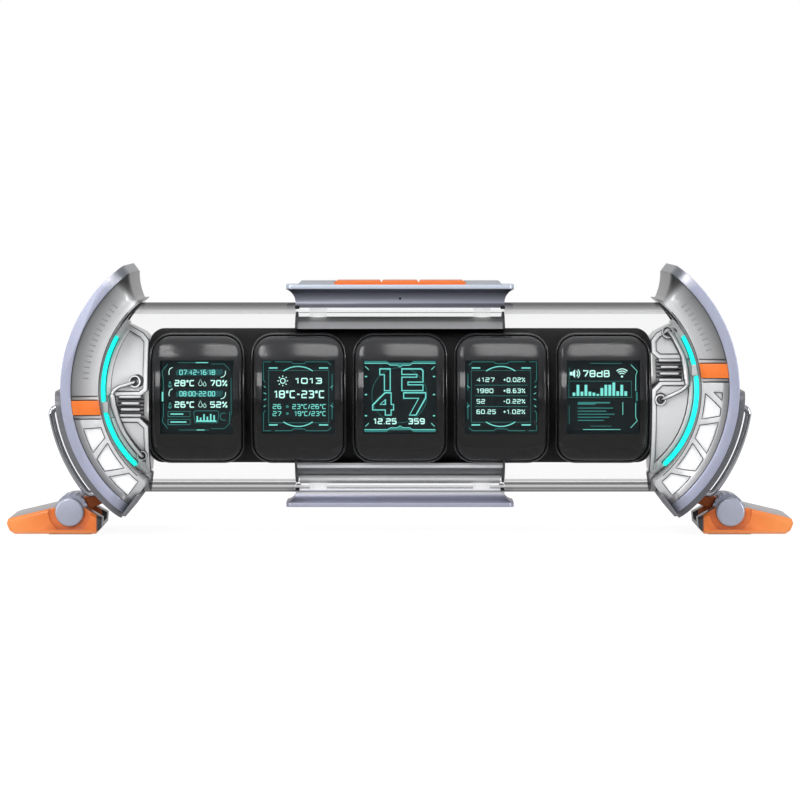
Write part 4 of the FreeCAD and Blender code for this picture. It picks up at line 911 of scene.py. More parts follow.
# %% Figures as strokes
ROUND = [(0.15, 0), (0.85, 0), (1, 0.12), (1, 0.88), (0.85, 1), (0.15, 1), (0, 0.88), (0, 0.12), (0.15, 0)]
LOW_BOWL = [(0, 0.55), (0.85, 0.55), (1, 0.43), (1, 0.12), (0.85, 0), (0.15, 0)]
STROKES = {
    "0": [ROUND], "1": [[(0, 0.82), (0.7, 1), (0.7, 0)]],
    "2": [[(0, 1), (0.85, 1), (1, 0.88), (1, 0.62), (0.88, 0.52), (0.12, 0.52), (0, 0.42), (0, 0), (1, 0)]],
    "3": [[(0, 1), (0.85, 1), (1, 0.88), (1, 0.62), (0.88, 0.52), (0.3, 0.52)],
          [(0.88, 0.52), (1, 0.4), (1, 0.12), (0.85, 0), (0, 0)]],
    "4": [[(0.72, 0), (0.72, 1), (0, 0.36), (1, 0.36)]],
    "5": [[(1, 1), (0, 1)] + LOW_BOWL[:-1] + [(0, 0)]],
    "6": [[(0.9, 1), (0.15, 1), (0, 0.88), (0, 0.12), (0.15, 0)] + LOW_BOWL[-2::-1]],
    "7": [[(0, 1), (1, 1), (1, 0.8), (0.42, 0)]], "8": [ROUND, [(0, 0.52), (1, 0.52)]],
    "9": [[(0.1, 0), (0.85, 0), (1, 0.12), (1, 0.88), (0.85, 1), (0.15, 1), (0, 0.88), (0, 0.57),
           (0.15, 0.45), (1, 0.45)]],
    "C": [[(1, 1), (0.15, 1), (0, 0.88), (0, 0.12), (0.15, 0), (1, 0)]],
    "d": [[(1, 1), (1, 0), (0.15, 0), (0, 0.12), (0, 0.5), (0.15, 0.62), (1, 0.62)]],
    "B": [[(0, 0), (0, 1), (0.8, 1), (0.95, 0.88), (0.95, 0.64), (0.85, 0.53), (0, 0.53)],
          [(0.85, 0.53), (1, 0.42), (1, 0.12), (0.85, 0), (0, 0)]],
    "%": [[(0.05, 0), (0.95, 1)], [(0, 1), (0, 0.75), (0.2, 0.75), (0.2, 1), (0, 1)],
          [(0.8, 0.25), (0.8, 0), (1, 0), (1, 0.25), (0.8, 0.25)]],
    "°": [[(0, 1), (0, 0.74), (1, 0.74), (1, 1), (0, 1)]], "-": [[(0, 0.5), (1, 0.5)]],
    "+": [[(0, 0.5), (1, 0.5)], [(0.5, 0.22), (0.5, 0.78)]], "/": [[(0, 0), (1, 1)]],
    ".": [[(0, 0), (1, 0)]], ":": [[(0, 0.25), (1, 0.25)], [(0, 0.75), (1, 0.75)]],
}
STROKE_WIDTHS = {"1": 0.6, "°": 0.3, "-": 0.55, "+": 0.7, "/": 0.5, ".": 0.12, ":": 0.12}
SIGN_GAP = 0.5


def figures(text, x0, x1, z0, z1, paint, line, ahead=0.0):
    """Plain figures drawn with strokes and fitted into a box, as a row of a screen."""
    widths = [STROKE_WIDTHS.get(sign, 1.0) for sign in text]
    scale = (x1 - x0 - line) / (sum(widths) + SIGN_GAP * (len(text) - 1))
    at = x0 + line / 2
    shapes = []
    for sign, width in zip(text, widths):
        for stroke in STROKES[sign]:
            shapes.append([(at + x * width * scale, z0 + line / 2 + z * (z1 - z0 - line)) for x, z in stroke])
        at += (width + SIGN_GAP) * scale
    return shapes, paint, line, ahead


# %% [markdown]
# ## Boxes and arcs
# The ornaments round the figures are boxes, frames and arcs, so these get a helper each.

# %% Boxes and arcs
def box(x0, x1, z0, z1):
    """A closed rectangle."""
    return [(x0, z0), (x1, z0), (x1, z1), (x0, z1)]


def frame_line(x0, x1, z0, z1):
    """A rectangle as one line that ends where it starts."""
    return box(x0, x1, z0, z1) + [(x0, z0)]


def arc(cx, cz, r, start, end, steps=24):
    """Points along a circle, in degrees."""
    return [(cx + r * math.cos(math.radians(start + (end - start) * i / steps)),
             cz + r * math.sin(math.radians(start + (end - start) * i / steps))) for i in range(steps + 1)]


def mirrored(points):
    """The same points with left and right swapped."""
    return [(-x, z) for x, z in points]


# %% [markdown]
# ## Screen 1
# The first screen shows the climate of two rooms: a span of time on a field between brackets, and
# under it a drop, the warmth and the damp. Small bars fill the foot of the screen.

# %% Screen 1: temperature and humidity
def pill(z):
    """The field behind a row's head, with a bracket on each side."""
    field = [
        (-7.0, z - 1.0), (7.6, z - 1.0), (8.3, z - 0.3), (8.3, z + 1.0), (-6.2, z + 1.0), (-7.0, z + 0.3)]
    left = [(-8.1, z + 1.6), (-9.0, z + 1.1), (-9.3, z + 0.1), (-9.2, z - 0.8)]
    right = [(9.2, z + 0.5), (9.1, z - 0.7), (8.6, z - 1.4), (7.6, z - 1.7)]
    return field, [left, right]


fields, brackets = [], []
for z in (7.9, 0.9):
    field, ends = pill(z)
    fields.append(field)
    brackets += ends
drop_outline = [arc(1.0, z, 0.6, -210, 30) + [(1.0, z + 1.5), (0.48, z + 0.3)] for z in (4.1, -2.9)]
drop_outline += [arc(2.4, z - 0.25, 0.45, -210, 30) + [(2.4, z + 0.75), (2.0, z)] for z in (4.1, -2.9)]
frames = [
    [(-9.7, 10.6), (-11.5, 8.2), (-11.1, 5.6), (-11.1, 1.7)],
    [(-11.1, -2.2), (-11.1, -6.0), (-11.5, -8.1), (-9.7, -10.5)], frame_line(-9.6, -2.4, -6.6, -4.9),
    frame_line(-9.6, -2.4, -9.2, -7.5), [(-1.2, -5.2), (-0.6, -4.7), (6.4, -4.7), (7.0, -5.2), (6.6, -8.6),
     (-0.8, -8.6), (-1.2, -5.2)], arc(8.6, -6.6, 1.2, 60, 300, 14),
    [(10.4, -5.0), (10.6, -6.6), (10.4, -8.4)]]
fills = [box(-0.5, 3.5, 10.9, 11.2), box(-0.2, 2.3, -11.1, -10.8), box(-11.6, -11.1, -1.6, 1.5),
         box(-8.8, -4.6, -5.95, -5.55), box(-8.8, -3.6, -8.55, -8.15), box(-0.4, 6.2, -8.3, -7.8)]
fills += [
    box(-0.3 + 1.1 * i, 0.2 + 1.1 * i, -8.0, -8.0 + h) for i, h in enumerate((1.6, 1.1, 2.2, 1.4, 2.3, 1.9))]
tubes = [box(-9.3, -8.6, z + 0.3, z + 1.6) for z in (3.3, -3.6)] + [
    arc(-8.95, z + 0.2, 0.6, 0, 345) for z in (3.3, -3.6)]
faint = [
    [(-6.5, 11.05), (3.8, 11.05)], [(-6.1, -10.95), (3.8, -10.95)], [(4.5, 10.6), (8.8, 10.6), (10.6, 8.6)],
    [(4.5, -10.5), (8.8, -10.5), (10.6, -8.6)], [(11.0, 6.0), (11.0, -6.0)]]
draw_screen(1, [
    (fields, deep_ink), (faint, dim_ink, 0.16), (brackets, white_ink, 0.24), (frames, dim_ink, 0.2),
    (fills, bright_ink, 0.0, 0.05), (tubes, dim_ink), (drop_outline, white_ink, 0.16),
    figures("07:42-16:18", -5.9, 5.8, 7.0, 8.75, bright_ink, 0.28, 0.05),
    figures("08:00-22:00", -5.9, 5.8, 0.0, 1.75, bright_ink, 0.28, 0.05),
    figures("28°C", -7.5, -0.9, 3.3, 5.4, white_ink, 0.42),
    figures("70%", 4.1, 9.8, 3.3, 5.4, white_ink, 0.42),
    figures("26°C", -7.5, -0.9, -3.7, -1.6, white_ink, 0.42),
    figures("52%", 4.1, 9.8, -3.7, -1.6, white_ink, 0.42)])

# %% [markdown]
# ## Screens 2 and 4
# The second screen shows the weather and the fourth a table of changes. Their frames are the same
# with left and right swapped, so the shapes are drawn once and mirrored.

# %% Screens 2 and 4: weather and changes
side_frame = [
    [(-9.0, 11.3), (-11.5, 11.3), (-11.5, 5.4), (-10.9, 4.6)],
    [(-10.9, -4.6), (-11.5, -5.4), (-11.5, -11.2), (-9.0, -11.2)],
    [(-7.8, 11.3), (-2.4, 11.3), (-1.8, 10.7), (1.8, 10.7), (2.4, 11.3), (9.4, 11.3), (10.6, 10.2)],
    [(-7.8, -11.2), (-2.4, -11.2), (-1.8, -10.6), (1.8, -10.6), (2.4, -11.2), (9.4, -11.2), (10.6, -10.2)],
    [(10.9, 7.4), (10.9, 2.0)], [(10.9, -2.0), (10.9, -7.4)]]
bows = [arc(-0.2, 1.5, 8.3, 55, 125), arc(-0.2, -1.5, 8.3, 235, 305)]
side_ticks = [[(-11.4, 3.4), (-10.8, 2.9)], [(-11.4, 1.2), (-10.6, 0.8)], [(-11.4, -1.2), (-10.6, -0.8)],
              [(-11.4, -3.4), (-10.8, -2.9)], [(10.4, 2.9), (11.2, 3.5)], [(10.4, -2.9), (11.2, -3.5)]]
dashes = [
    box(-9.7, -6.9, 9.1, 9.5), box(6.6, 9.6, 9.1, 9.5), box(-9.7, -6.9, -9.5, -9.1),
    box(6.6, 9.6, -9.5, -9.1)]
rays = [[
    (-5.2 + 1.3 * math.cos(a), 5.1 + 1.3 * math.sin(a)),
    (-5.2 + 1.75 * math.cos(a), 5.1 + 1.75 * math.sin(a))] for a in [math.pi / 4 * i for i in range(8)]]
draw_screen(2, [
    (side_frame, dim_ink, 0.22), (bows, bright_ink, 0.3), (side_ticks, bright_ink, 0.18),
    ([frame_line(-9.8, 9.8, -8.6, 8.5)], dim_ink, 0.16), (dashes, bright_ink),
    (rays + [arc(-5.2, 5.1, 0.8, 0, 360, 16)], white_ink, 0.3),
    ([arc(-3.7, z, 0.45, 0, 345) for z in (-3.3, -5.6)], dim_ink),
    figures("1013", -1.2, 7.6, 4.1, 6.1, white_ink, 0.42),
    figures("18°C-23°C", -8.1, 8.5, -0.6, 2.0, white_ink, 0.46),
    figures("26", -8.5, -5.7, -4.1, -2.5, bright_ink, 0.24),
    figures("27", -8.5, -5.7, -6.4, -4.8, bright_ink, 0.24),
    figures("23°C/26°C", -2.1, 8.9, -4.1, -2.5, bright_ink, 0.24),
    figures("19°C/23°C", -1.4, 8.9, -6.4, -4.8, bright_ink, 0.24)])

rows = [([mirrored(points) for points in side_frame], dim_ink, 0.22), (bows, bright_ink, 0.3),
        ([mirrored(points) for points in side_ticks], bright_ink, 0.18), (dashes, bright_ink),
        ([frame_line(-9.8, 9.6, -8.4, 8.5)] + [[(-8.6, z), (8.6, z)] for z in (3.7, 0.2, -3.3)],
         dim_ink, 0.14)]
for z, change, level, end in ((5.45, "+0.02%", "4127", -2.2), (1.85, "+8.63%", "1980", -2.6),
                              (-1.6, "-0.22%", "52", -5.3), (-5.0, "+1.02%", "60.25", -1.8)):
    rows += [figures(change, 0.6, 7.8, z - 0.75, z + 0.75, white_ink, 0.26),
             figures(level, -8.1, end, z - 0.75, z + 0.75, white_ink, 0.26)]
draw_screen(4, rows)

# %% [markdown]
# ## Screen 3
# The middle screen shows the time in four large open figures, two over two, inside a ring. Each
# is a bright line on a broad dim one, which gives the glow of such a display.

# %% Screen 3: the time
band = [
    (-11.6, 11.6), (-11.6, 10.8), (-4.0, 10.8), (-3.2, 10.2), (-0.9, 10.2), (0.0, 9.6), (0.9, 10.2),
    (3.2, 10.2), (4.0, 10.8), (11.6, 10.8), (11.6, 11.6), (4.4, 11.6), (3.6, 11.0), (-3.6, 11.0),
    (-4.4, 11.6)]
band_below = [(x, -z) for x, z in band]
ticks = [
    box(side * 11.1 - 0.35, side * 11.1 + 0.35, z - 0.2, z + 0.2) for side in (-1, 1)
    for z in (6.5, 0.6, -6.3)]
corners = [[(side * 11.3, top * 9.8), (side * 10.2, top * 8.7)] for side in (-1, 1) for top in (-1, 1)]
big = [
    [(-6.6, 9.0), (-3.2, 9.0), (-3.2, 1.9), (-5.1, 1.9), (-5.1, 7.1), (-6.6, 7.1)],
    [(-4.9, 1.2), (-2.9, 1.2), (-2.9, -2.6), (-2.1, -2.6), (-2.1, -4.4), (-2.9, -4.4), (-2.9, -6.1),
     (-4.8, -6.1), (-4.8, -4.4), (-8.9, -4.4), (-8.9, -2.8)], [(-4.8, -1.0), (-4.8, -2.6), (-6.5, -2.6)],
    [(0.6, 9.0), (6.9, 9.0), (7.5, 8.4), (7.5, 4.7), (2.6, 4.7), (2.6, 3.8), (7.5, 3.8), (7.5, 1.9),
     (0.6, 1.9), (0.6, 6.3), (5.5, 6.3), (5.5, 7.2), (0.6, 7.2)],
    [(1.2, 1.2), (8.4, 1.2), (8.4, -0.4), (5.2, -6.1), (3.1, -6.1), (6.1, -0.6), (1.2, -0.6)]]
big = [points + points[:2] for points in big]
draw_screen(3, [
    ([band, band_below], dim_ink), (ticks, bright_ink),
    ([band[1:10], band_below[1:10]], bright_ink, 0.2, 0.05), (corners, bright_ink, 0.2),
    ([arc(-0.2, 0.4, 9.0, 0, 360, 48)], dim_ink, 0.12), (big, deep_ink, 0.95), (big, bright_ink, 0.38, 0.06),
    figures("12.25", -8.7, -1.1, -9.1, -7.1, white_ink, 0.42),
    figures("359", 2.6, 8.1, -9.1, -7.1, white_ink, 0.42)])

# %% [markdown]
# ## Screen 5
# The last screen shows how loud the room is, with bars for the pitches in a frame and faint lines
# for notes under it.

# %% Screen 5: sound and spectrum
heights = (1.05, 3.6, 1.35, 3.6, 1.35, 1.05, 0.6, 2.55, 3.6, 3.6, 4.35, 1.5, 3.6, 1.5)
bars = [box(-9.8 + 1.3 * i, -8.9 + 1.3 * i, 0.2, 0.2 + h) for i, h in enumerate(heights)]
horn = [
    box(-10.7, -9.9, 6.9, 8.0), [(-9.8, 6.9), (-9.8, 8.0), (-9.0, 8.8), (-9.0, 6.1)],
    arc(6.3, 6.5, 0.35, 0, 345)]
title = [
    [(-8.1, -1.8), (2.4, -1.8), (2.4, -2.3), (-2.0, -2.3), (-2.6, -2.7), (-8.1, -2.7)],
    box(10.9, 11.4, -1.5, 1.4)]
waves = [arc(6.3, 6.5, r, 45, 135, 10) for r in (1.1, 1.8, 2.5)] + [
    arc(-9.2, 7.45, r, -50, 50, 8) for r in (1.1, 1.7)]
frames = [[(9.2, 10.4), (11.3, 8.2), (10.8, 6.8), (10.8, 1.8)], [(10.8, -2.1), (10.8, -6.6), (11.3, -8.0),
          (9.2, -10.2)], [(6.6, -1.9), (6.6, -6.0)], [(-6.4, -10.8), (5.8, -10.8)]]
faint = [frame_line(-11.0, 9.4, -0.3, 5.0), [(-4.1, 10.8), (6.2, 10.8)], [(-4.0, -9.7), (3.0, -9.7)],
         [(-10.9, 9.4), (-10.9, 5.6)], [(-10.9, -3.0), (-10.9, -9.0)]]
notes = [[(-8.1, z), (end, z)] for z, end in (
    (-3.8, 3.4), (-4.8, 1.2), (-5.8, 3.9), (-6.8, 2.2), (-7.8, 0.4))]
draw_screen(5, [
    (bars, bright_ink), (horn, white_ink), (title, dim_ink), (waves, white_ink, 0.3),
    (frames, bright_ink, 0.18), (faint, dim_ink, 0.16), (notes, dim_ink, 0.3),
    figures("78dB", -6.6, 2.3, 6.3, 8.6, white_ink, 0.42)])
print("screens drawn")

# %% [markdown]
# ## Lines and seams of the end caps
# Where two parts meet, the real clock has narrow dark gaps, and the raised frames of the insert have
# round rims. Both are drawn with rods along paths: a curve with a round section, made a mesh. The
# cap's paths are circles about one point, so a helper gives a point by radius and angle.

# %% Cap helpers
# Each side with its sign along X and the height of its orange bar over the axis.
SIDES = (("left", -1, -2.2), ("right", 1, 9.8))
# The windows in the flare, each by its turns: outside from and to, inside from and to.
WINDOWS = {
    "left": ((16.6, 27.4, 18.5, 23.8), (30.5, 36.5, 26.6, 40.8), (39.4, 50.6, 44.2, 50.2)),
    "right": ((1.2, 4.6, 1.2, 1.4), (8.0, 11.1, 1.9, 14.2), (13.8, 27.8, 17.2, 23.8),
              (30.5, 36.5, 26.6, 40.8), (39.4, 50.6, 44.2, 50.2)),
}


def on_cap(sign, radius, degrees, y):
    """A point about the cap's arc, by its angle under the middle."""
    turn = math.radians(degrees)
    return (sign * (CAP_X + radius * math.cos(turn)), y, CAP_Z - radius * math.sin(turn))


FLARE_IN, FLARE_OUT = 38.9, 44.4  # the windows lie between these radii
BULGE_R = 37.6  # the flare's inner edge
TIP = ((0.3, 0.954), (0.6, 0.8), (0.85, 0.527), (0.98, 0.199))  # rounds off the end of a rod


def flare_front(radius):
    """The depth of the flare's hollow front at a radius."""
    d = radius - BULGE_R
    return -(32 - 0.115 * d + 0.035 * d * d)


def rods(name, lines, thick, paint, closed=False, tips=False):
    """Round rods along lines of points in millimetres, as one mesh; tips are rounded ends."""
    paths = []
    for points in lines:
        path = [(Vector(place), 1.0) for place in points]
        if tips:
            for first, second in ((0, 1), (-1, -2)):
                ahead = (Vector(points[first]) - Vector(points[second])).normalized() * thick / 2
                steps = [(Vector(points[first]) + ahead * far, width) for far, width in TIP]
                path = steps[::-1] + path if first == 0 else path + steps
        paths.append(path)
    piece = curve_piece(name, paths, thick, 2, closed)
    smooth(piece, 50)
    return dress(piece, paint)


def cap_arc(sign, radius, start, end, y, steps=40):
    """Points along the cap's arc."""
    return [on_cap(sign, radius, start + (end - start) * i / steps, y) for i in range(steps + 1)]


# %% [markdown]
# ## Outlines of the insert
# The parts of the white insert are outlines cut by arcs about the cap's middle. Points every few
# millimetres let an outline bend with the tube, and an inset outline gives the next ring of a skin.

# %% Outlines of the insert
def tile_outline(corners, arcs):
    """Corners (x, height over the axis), then arcs about the cap's middle, as close points."""
    runs = list(corners)
    for radius, start, end in arcs:
        for i in range(9):
            turn = math.radians(start + (end - start) * i / 8)
            runs.append((CAP_X + radius * math.cos(turn), CAP_Z - AXIS_Z - radius * math.sin(turn)))
    points = []
    for (x0, z0), (x1, z1) in zip(runs, runs[1:] + runs[:1]):
        count = math.ceil(math.hypot(x1 - x0, z1 - z0) / 3 - 0.001)
        points += [(x0 + (x1 - x0) * i / count, z0 + (z1 - z0) * i / count) for i in range(count)]
    return points


def angle_at(height, radius):
    """The angle under the middle at which an arc passes a height over the axis."""
    return math.degrees(math.asin((CAP_Z - AXIS_Z - height) / radius))


def inset(points, amount):
    """Moves a closed outline inwards by an amount; it runs against the clock or with it."""
    area = sum(a[0] * b[1] - b[0] * a[1] for a, b in zip(points, points[1:] + points[:1]))
    turn = 1 if area > 0 else -1
    moved = []
    for before, here, after in zip(points[-1:] + points[:-1], points, points[1:] + points[:1]):
        sides = []
        for a, b in ((before, here), (here, after)):
            length = math.hypot(b[0] - a[0], b[1] - a[1])
            sides.append((-(b[1] - a[1]) / length * turn, (b[0] - a[0]) / length * turn))
        nx, nz = sides[0][0] + sides[1][0], sides[0][1] + sides[1][1]
        scale = 2 / (nx * nx + nz * nz)
        moved.append((here[0] + nx * scale * amount, here[1] + nz * scale * amount))
    return moved


def on_drum(sign, points, radius):
    """Lays an outline of one cap on a drum about the tube's axis."""
    return [(sign * x, drum_y(radius, z), AXIS_Z + z) for x, z in points]


def drum_skin(name, sign, points, rows):
    """A white part of the insert, from rows of (inset, radius)."""
    from_rings(name, [
        on_drum(sign, inset(points, move), radius) for move, radius in rows], pearl, 50)


# %% [markdown]
# ## Frames of the insert
# Behind the tube's end lie two light tiles with raised rims, above and below the fins. The rim is
# a rounded bar laid on the tube's curve, with a thin dark line along each side, as in a moulding
# that is set in with a gap. The flare gets the same lines round its windows and beside the bar.

# %% Frames of the insert
TILE_SEAMS = ((-0.1, 25.9), (1.36, 25.66))  # inset and drum
CAP_SEAMS = ((46.5, -52, 50, -33.95), (37.55, -42, 48, -33.2))  # radius, turns from and to, depth
BAR_EDGES = (-3.75, -2.5, 2.5, 3.75)  # heights about the middle of the orange bar
BAR_RADII = (38.2, 40, 42, 44, 46.2)
NOTCH_IN = 41.65  # the smallest window is a wedge that starts here
# A tile's rim in section: inset and drum.
TILE_RIM = (
    (0.0, 25.0), (0.0, 26.25), (0.12, 26.48), (0.35, 26.58), (0.85, 26.58), (1.08, 26.48), (1.2, 26.25),
    (1.2, 25.0), (0.0, 25.0))
for side, sign, bar in SIDES:
    low, high = bar + 3.7, bar - 3.7
    upper = tile_outline(
        [(84.0, 21.4), (82.2, 19.2), (82.2, low + 1.8), (84.4, low)], [(35.5, angle_at(low, 35.5), -35.0)])
    lower = tile_outline([(84.8, high), (82.0, high - 2.8), (82.0, -23.6), (83.3, -24.9)],
                         [(36.9, 50.3, 44.4), (35.2, 43.4, angle_at(high, 35.5))])
    lines = []
    for number, points in enumerate((upper, lower), 1):
        drum_skin("tile_rim_{}_{}".format(side, number), sign, points, TILE_RIM)
        lines += [on_drum(sign, inset(points, move), radius) for move, radius in TILE_SEAMS]
    rods("tile_seams_" + side, lines, 0.42, seam_dark, closed=True)
    seams = [cap_arc(sign, *row) for row in CAP_SEAMS]
    for edge in BAR_EDGES:
        seams.append([on_cap(sign, r, angle_at(bar + edge, r), flare_front(r) + 0.04) for r in BAR_RADII])
    for outer_start, outer_end, inner_start, inner_end in WINDOWS[side]:
        outside = [(FLARE_OUT, outer_start), (FLARE_OUT, outer_end)]
        corners = [(FLARE_IN, inner_start)] + outside + [(FLARE_IN, inner_end)]
        if inner_end - inner_start < 1:
            corners = [(NOTCH_IN, inner_start)] + outside
        loop = []
        for (r0, a0), (r1, a1) in zip(corners, corners[1:] + corners[:1]):
            for i in range(6):
                r = r0 + (r1 - r0) * i / 6
                loop.append(on_cap(sign, r, a0 + (a1 - a0) * i / 6, flare_front(r)))
        seams.append(loop + loop[:1])
    rods("cap_seams_" + side, seams, 0.3, seam_dark)
print("frames and seams made")

# %% [markdown]
# ## Light guides
# A thin rod of clear plastic glows along the tube's end in two lengths, above and below the orange
# bar. It lies in a white bed that follows the same arc. The ends are rounded, so the rods get small
# tips. Both lie inside the tube, so their depth follows a drum about the tube's axis.

# %% Light guides and their bed
GUIDE_R, GUIDE_THICK = 36.75, 2.0
GUIDE_DRUM = 25.85
# The bed in section: inset and drum.
BED = ((0.0, 24.6), (0.0, 25.55), (0.12, 25.68), (0.9, 25.7))
for side, sign, bar in SIDES:
    lines = []
    for low, high in ((bar + 2.4, 19.9), (-21.1, bar - 2.8)):
        path = cap_arc(sign, GUIDE_R, angle_at(low, GUIDE_R), angle_at(high, GUIDE_R), 0.0, 24)
        lines.append([(x, drum_y(GUIDE_DRUM, z - AXIS_Z), z) for x, _, z in path])
    guide = rods("light_rods_" + side, lines, GUIDE_THICK, glow, tips=True)
    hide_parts("light_guides_" + side)
    lengths = ((-36.5, angle_at(bar + 1.9, 36.0)), (angle_at(bar - 1.9, 36.0), 50.5))
    for number, (start, end) in enumerate(lengths, 1):
        around = tile_outline([], [(37.5, end, start), (35.65, start, end)])
        drum_skin("guide_bed_{}_{}".format(side, number), sign, around, BED)
print("light guides made")

# %% [markdown]
# ## Pipes
# A nickel-plated pipe leaves a ring in the upper tile, bends round the fins inside a dull sleeve and
# ends in a ring in the lower one; on the right it runs the other way round. It is a curve with a
# round bevel, and each point has its place (x, z) and the radius of the drum that it lies on.

# %% Pipes
PIPES = {
    "left": (((86.3, 50.3, 25.9), (86.9, 49.9, 26.6), (89.0, 49.25, 27.2), (91.3, 48.7, 27.2),
              (92.6, 47.8, 27.2), (93.4, 46.9, 27.2), (93.7, 45.7, 27.2)),
             ((93.5, 45.0, 27.1), (93.2, 43.0, 27.1), (92.8, 41.8, 27.1), (92.3, 40.3, 27.1),
              (91.6, 38.0, 27.1), (90.7, 35.7, 27.1), (89.6, 33.5, 27.1), (88.4, 31.6, 27.1),
              (87.1, 29.7, 27.1), (85.8, 28.0, 27.0), (84.8, 26.7, 26.6), (84.3, 26.1, 25.9)),
             ((93.55, 45.6, 27.0), (93.1, 42.6, 27.0), (92.2, 39.9, 27.0))),
    "right": (((93.3, 49.3, 27.2), (92.6, 48.3, 27.2), (91.3, 47.4, 27.2), (90.1, 46.8, 27.2),
               (87.9, 45.8, 27.2), (86.0, 45.0, 26.8), (85.2, 44.6, 25.9)),
              ((88.2, 65.6, 25.9), (88.8, 65.0, 26.6), (89.4, 64.1, 27.0), (90.1, 62.6, 27.1),
               (91.2, 60.4, 27.1), (92.2, 58.1, 27.1), (92.7, 55.7, 27.1), (93.0, 52.9, 27.1),
               (93.2, 50.9, 27.1), (93.3, 49.6, 27.1)),
              ((92.4, 57.0, 27.0), (92.9, 54.0, 27.0), (93.1, 51.2, 27.0))),
}
# The rings at a pipe's ends: (x, z) of the middle and the radius.
PIPE_ENDS = {
    "left": ((86.3, 50.3, 1.75), (84.3, 26.1, 1.5)), "right": ((87.6, 65.9, 1.75), (84.7, 44.4, 1.6))}
THICK = {"thin_pipe_": 1.4, "thick_pipe_": 1.95, "pipe_sleeve_": 2.35}
RING_THICK = 0.8
RING_DRUM = 26.75
for side, sign, bar in SIDES:
    for (name, thick), points in zip(THICK.items(), PIPES[side]):
        path = [(sign * x, drum_y(drum, z - AXIS_Z), z) for x, z, drum in points]
        pipe = rods(name + side, [path], thick, pipe_plate, tips=True)
        if name == "thick_pipe_":
            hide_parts("chrome_pipe_" + side)
    rings = []
    for middle_x, middle_z, r in PIPE_ENDS[side]:
        circle = arc(middle_x, middle_z, r, 0, 345, 23)
        rings.append([(sign * x, drum_y(RING_DRUM, z - AXIS_Z), z) for x, z in circle])
    rods("pipe_rings_" + side, rings, RING_THICK, pipe_plate, closed=True)
print("pipes made")

# %% [markdown]
# ## Fins between the tiles
# Between the two tiles looks out a short stack of nickel-plated fins. The block behind them is a
# CAD node; the fins are thick rods with rounded ends, laid on the tube's curve.

# %% Fins between the tiles
FINS = {"left": (45.4, 43.3, 41.35, 39.4), "right": (57.0, 54.9, 52.8, 50.8)}
FIN_ENDS = ((84.6, 91.0), (85.2, 90.2), (84.9, 90.4), (84.6, 91.2))
FIN_DRUM, FIN_THICK = 26.35, 1.25
for side, sign, bar in SIDES:
    rows = [[(sign * x, drum_y(FIN_DRUM, z - AXIS_Z), z) for x in (near, (near + far) / 2, far)]
            for z, (near, far) in zip(FINS[side], FIN_ENDS)]
    rods("fin_bars_" + side, rows, FIN_THICK, fin_plate, tips=True)
print("fins made")

# %% [markdown]
# ## Marks on the flare
# The flare's upper face carries a row of small sunk marks along the arc, like the scale of an
# instrument. They are plain ticks, all alike, that lie almost flush with the face.

# %% Marks on the flare
MARK_RADII = (42.1 - 1.0, 42.1, 42.1 + 1.0)
MARK_THICK, MARK_PITCH, MARK_SUNK = 0.75, 2.5, 0.22
MARKS = {"left": (5.0, 15), "right": (18.0, 10)}  # the first mark's turn, and how many
for side, sign, bar in SIDES:
    first, count = MARKS[side]
    marks = []
    for number in range(count):
        turn = -(first + MARK_PITCH * number)
        marks.append([on_cap(sign, r, turn, flare_front(r) + MARK_SUNK) for r in MARK_RADII])
    rods("flare_marks_" + side, marks, MARK_THICK, mark_grey)
print("marks made")

# %% [markdown]
# ## End plates and key tray
# A thin grey plate closes the lower end of each cap: it is a little wider than the casting, so
# its corner shows. On top an orange tray joins the three keys into one strip. Both are closed
# skins with a small chamfer.

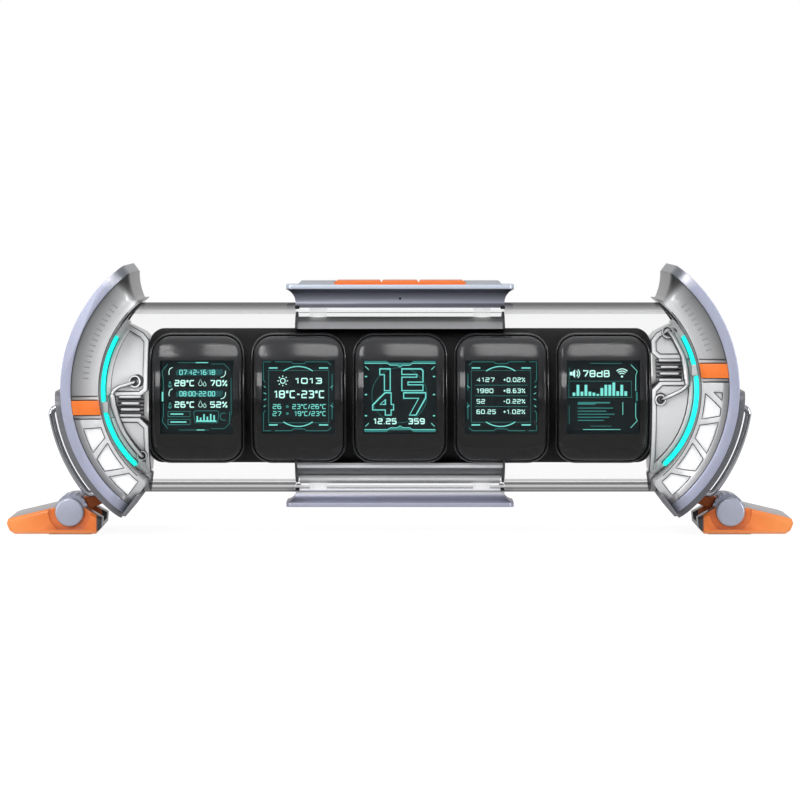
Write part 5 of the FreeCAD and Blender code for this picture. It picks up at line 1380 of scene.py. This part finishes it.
# %% End plates and key tray
def slab(name, corners, y_low, y_high, edge, paint):
    """A plate along Y from corners (x, z), with chamfered ends."""
    rows = ((y_low, edge), (y_low + edge, 0.0), (y_high - edge, 0.0), (y_high, edge))
    rings = [[(x, y, z) for x, z in inset(corners, move)] for y, move in rows]
    from_rings(name, rings, paint, 30)


PLATE_HALF = 34.6
TRAY_FRONT, TRAY_BACK = -11.15, -10.2
# The section of a plate by radius and turn about the cap's middle.
PLATE = ((42.4, 53.4), (50.3, 53.4), (50.6, 54.0), (50.2, 54.9), (42.3, 55.2), (41.9, 54.4))
for side, sign, bar in SIDES:
    corners = [on_cap(sign, radius, turn, 0.0) for radius, turn in PLATE]
    slab("end_plate_" + side, [(x, z) for x, _, z in corners], -PLATE_HALF, PLATE_HALF, 0.3,
         strap_paint)
slab("key_tray", box(-21.6, 21.6, 81.2, 82.55), TRAY_FRONT, TRAY_BACK, 0.15, key_orange)
print("plates and tray made")

# %% [markdown]
# ## Ends and sole of the carrier
# Inside the tube the carrier ends in a dark seal ring on each side, and a grey sole fills the room
# under it. The rings are rods along an arc about the tube's axis; the sole is a bent bar.

# %% Ends and sole of the carrier
def round_tube(x, radius, start, end, steps=20):
    """Points about the tube's axis; 0 degrees is the top, and 90 the front."""
    turns = [math.radians(start + (end - start) * i / steps) for i in range(steps + 1)]
    return [(x, -radius * math.sin(turn), AXIS_Z + radius * math.cos(turn)) for turn in turns]


SEAL_X, SEAL_R, SEAL_THICK = 34.0, 27.9, 0.8
SOLE_X, SOLE_OUT, SOLE_IN = 33.0, 28.5, 26.75
SOLE_FROM, SOLE_TO = 161, 199
for name, start, end in (("upper", -34, 34), ("lower", 137, 223)):
    rings = [round_tube(x, SEAL_R, start, end) for x in (-SEAL_X, SEAL_X)]
    rods("carrier_seal_" + name, rings, SEAL_THICK, seam_dark)
section = round_tube(0, SOLE_OUT, SOLE_FROM, SOLE_TO) + round_tube(0, SOLE_IN, SOLE_TO, SOLE_FROM)
rings = [[(x, y, z) for _, y, z in section] for x in (-SOLE_X, SOLE_X)]
from_rings("carrier_sole", rings, carrier_grey, 30)
print("carrier finished")
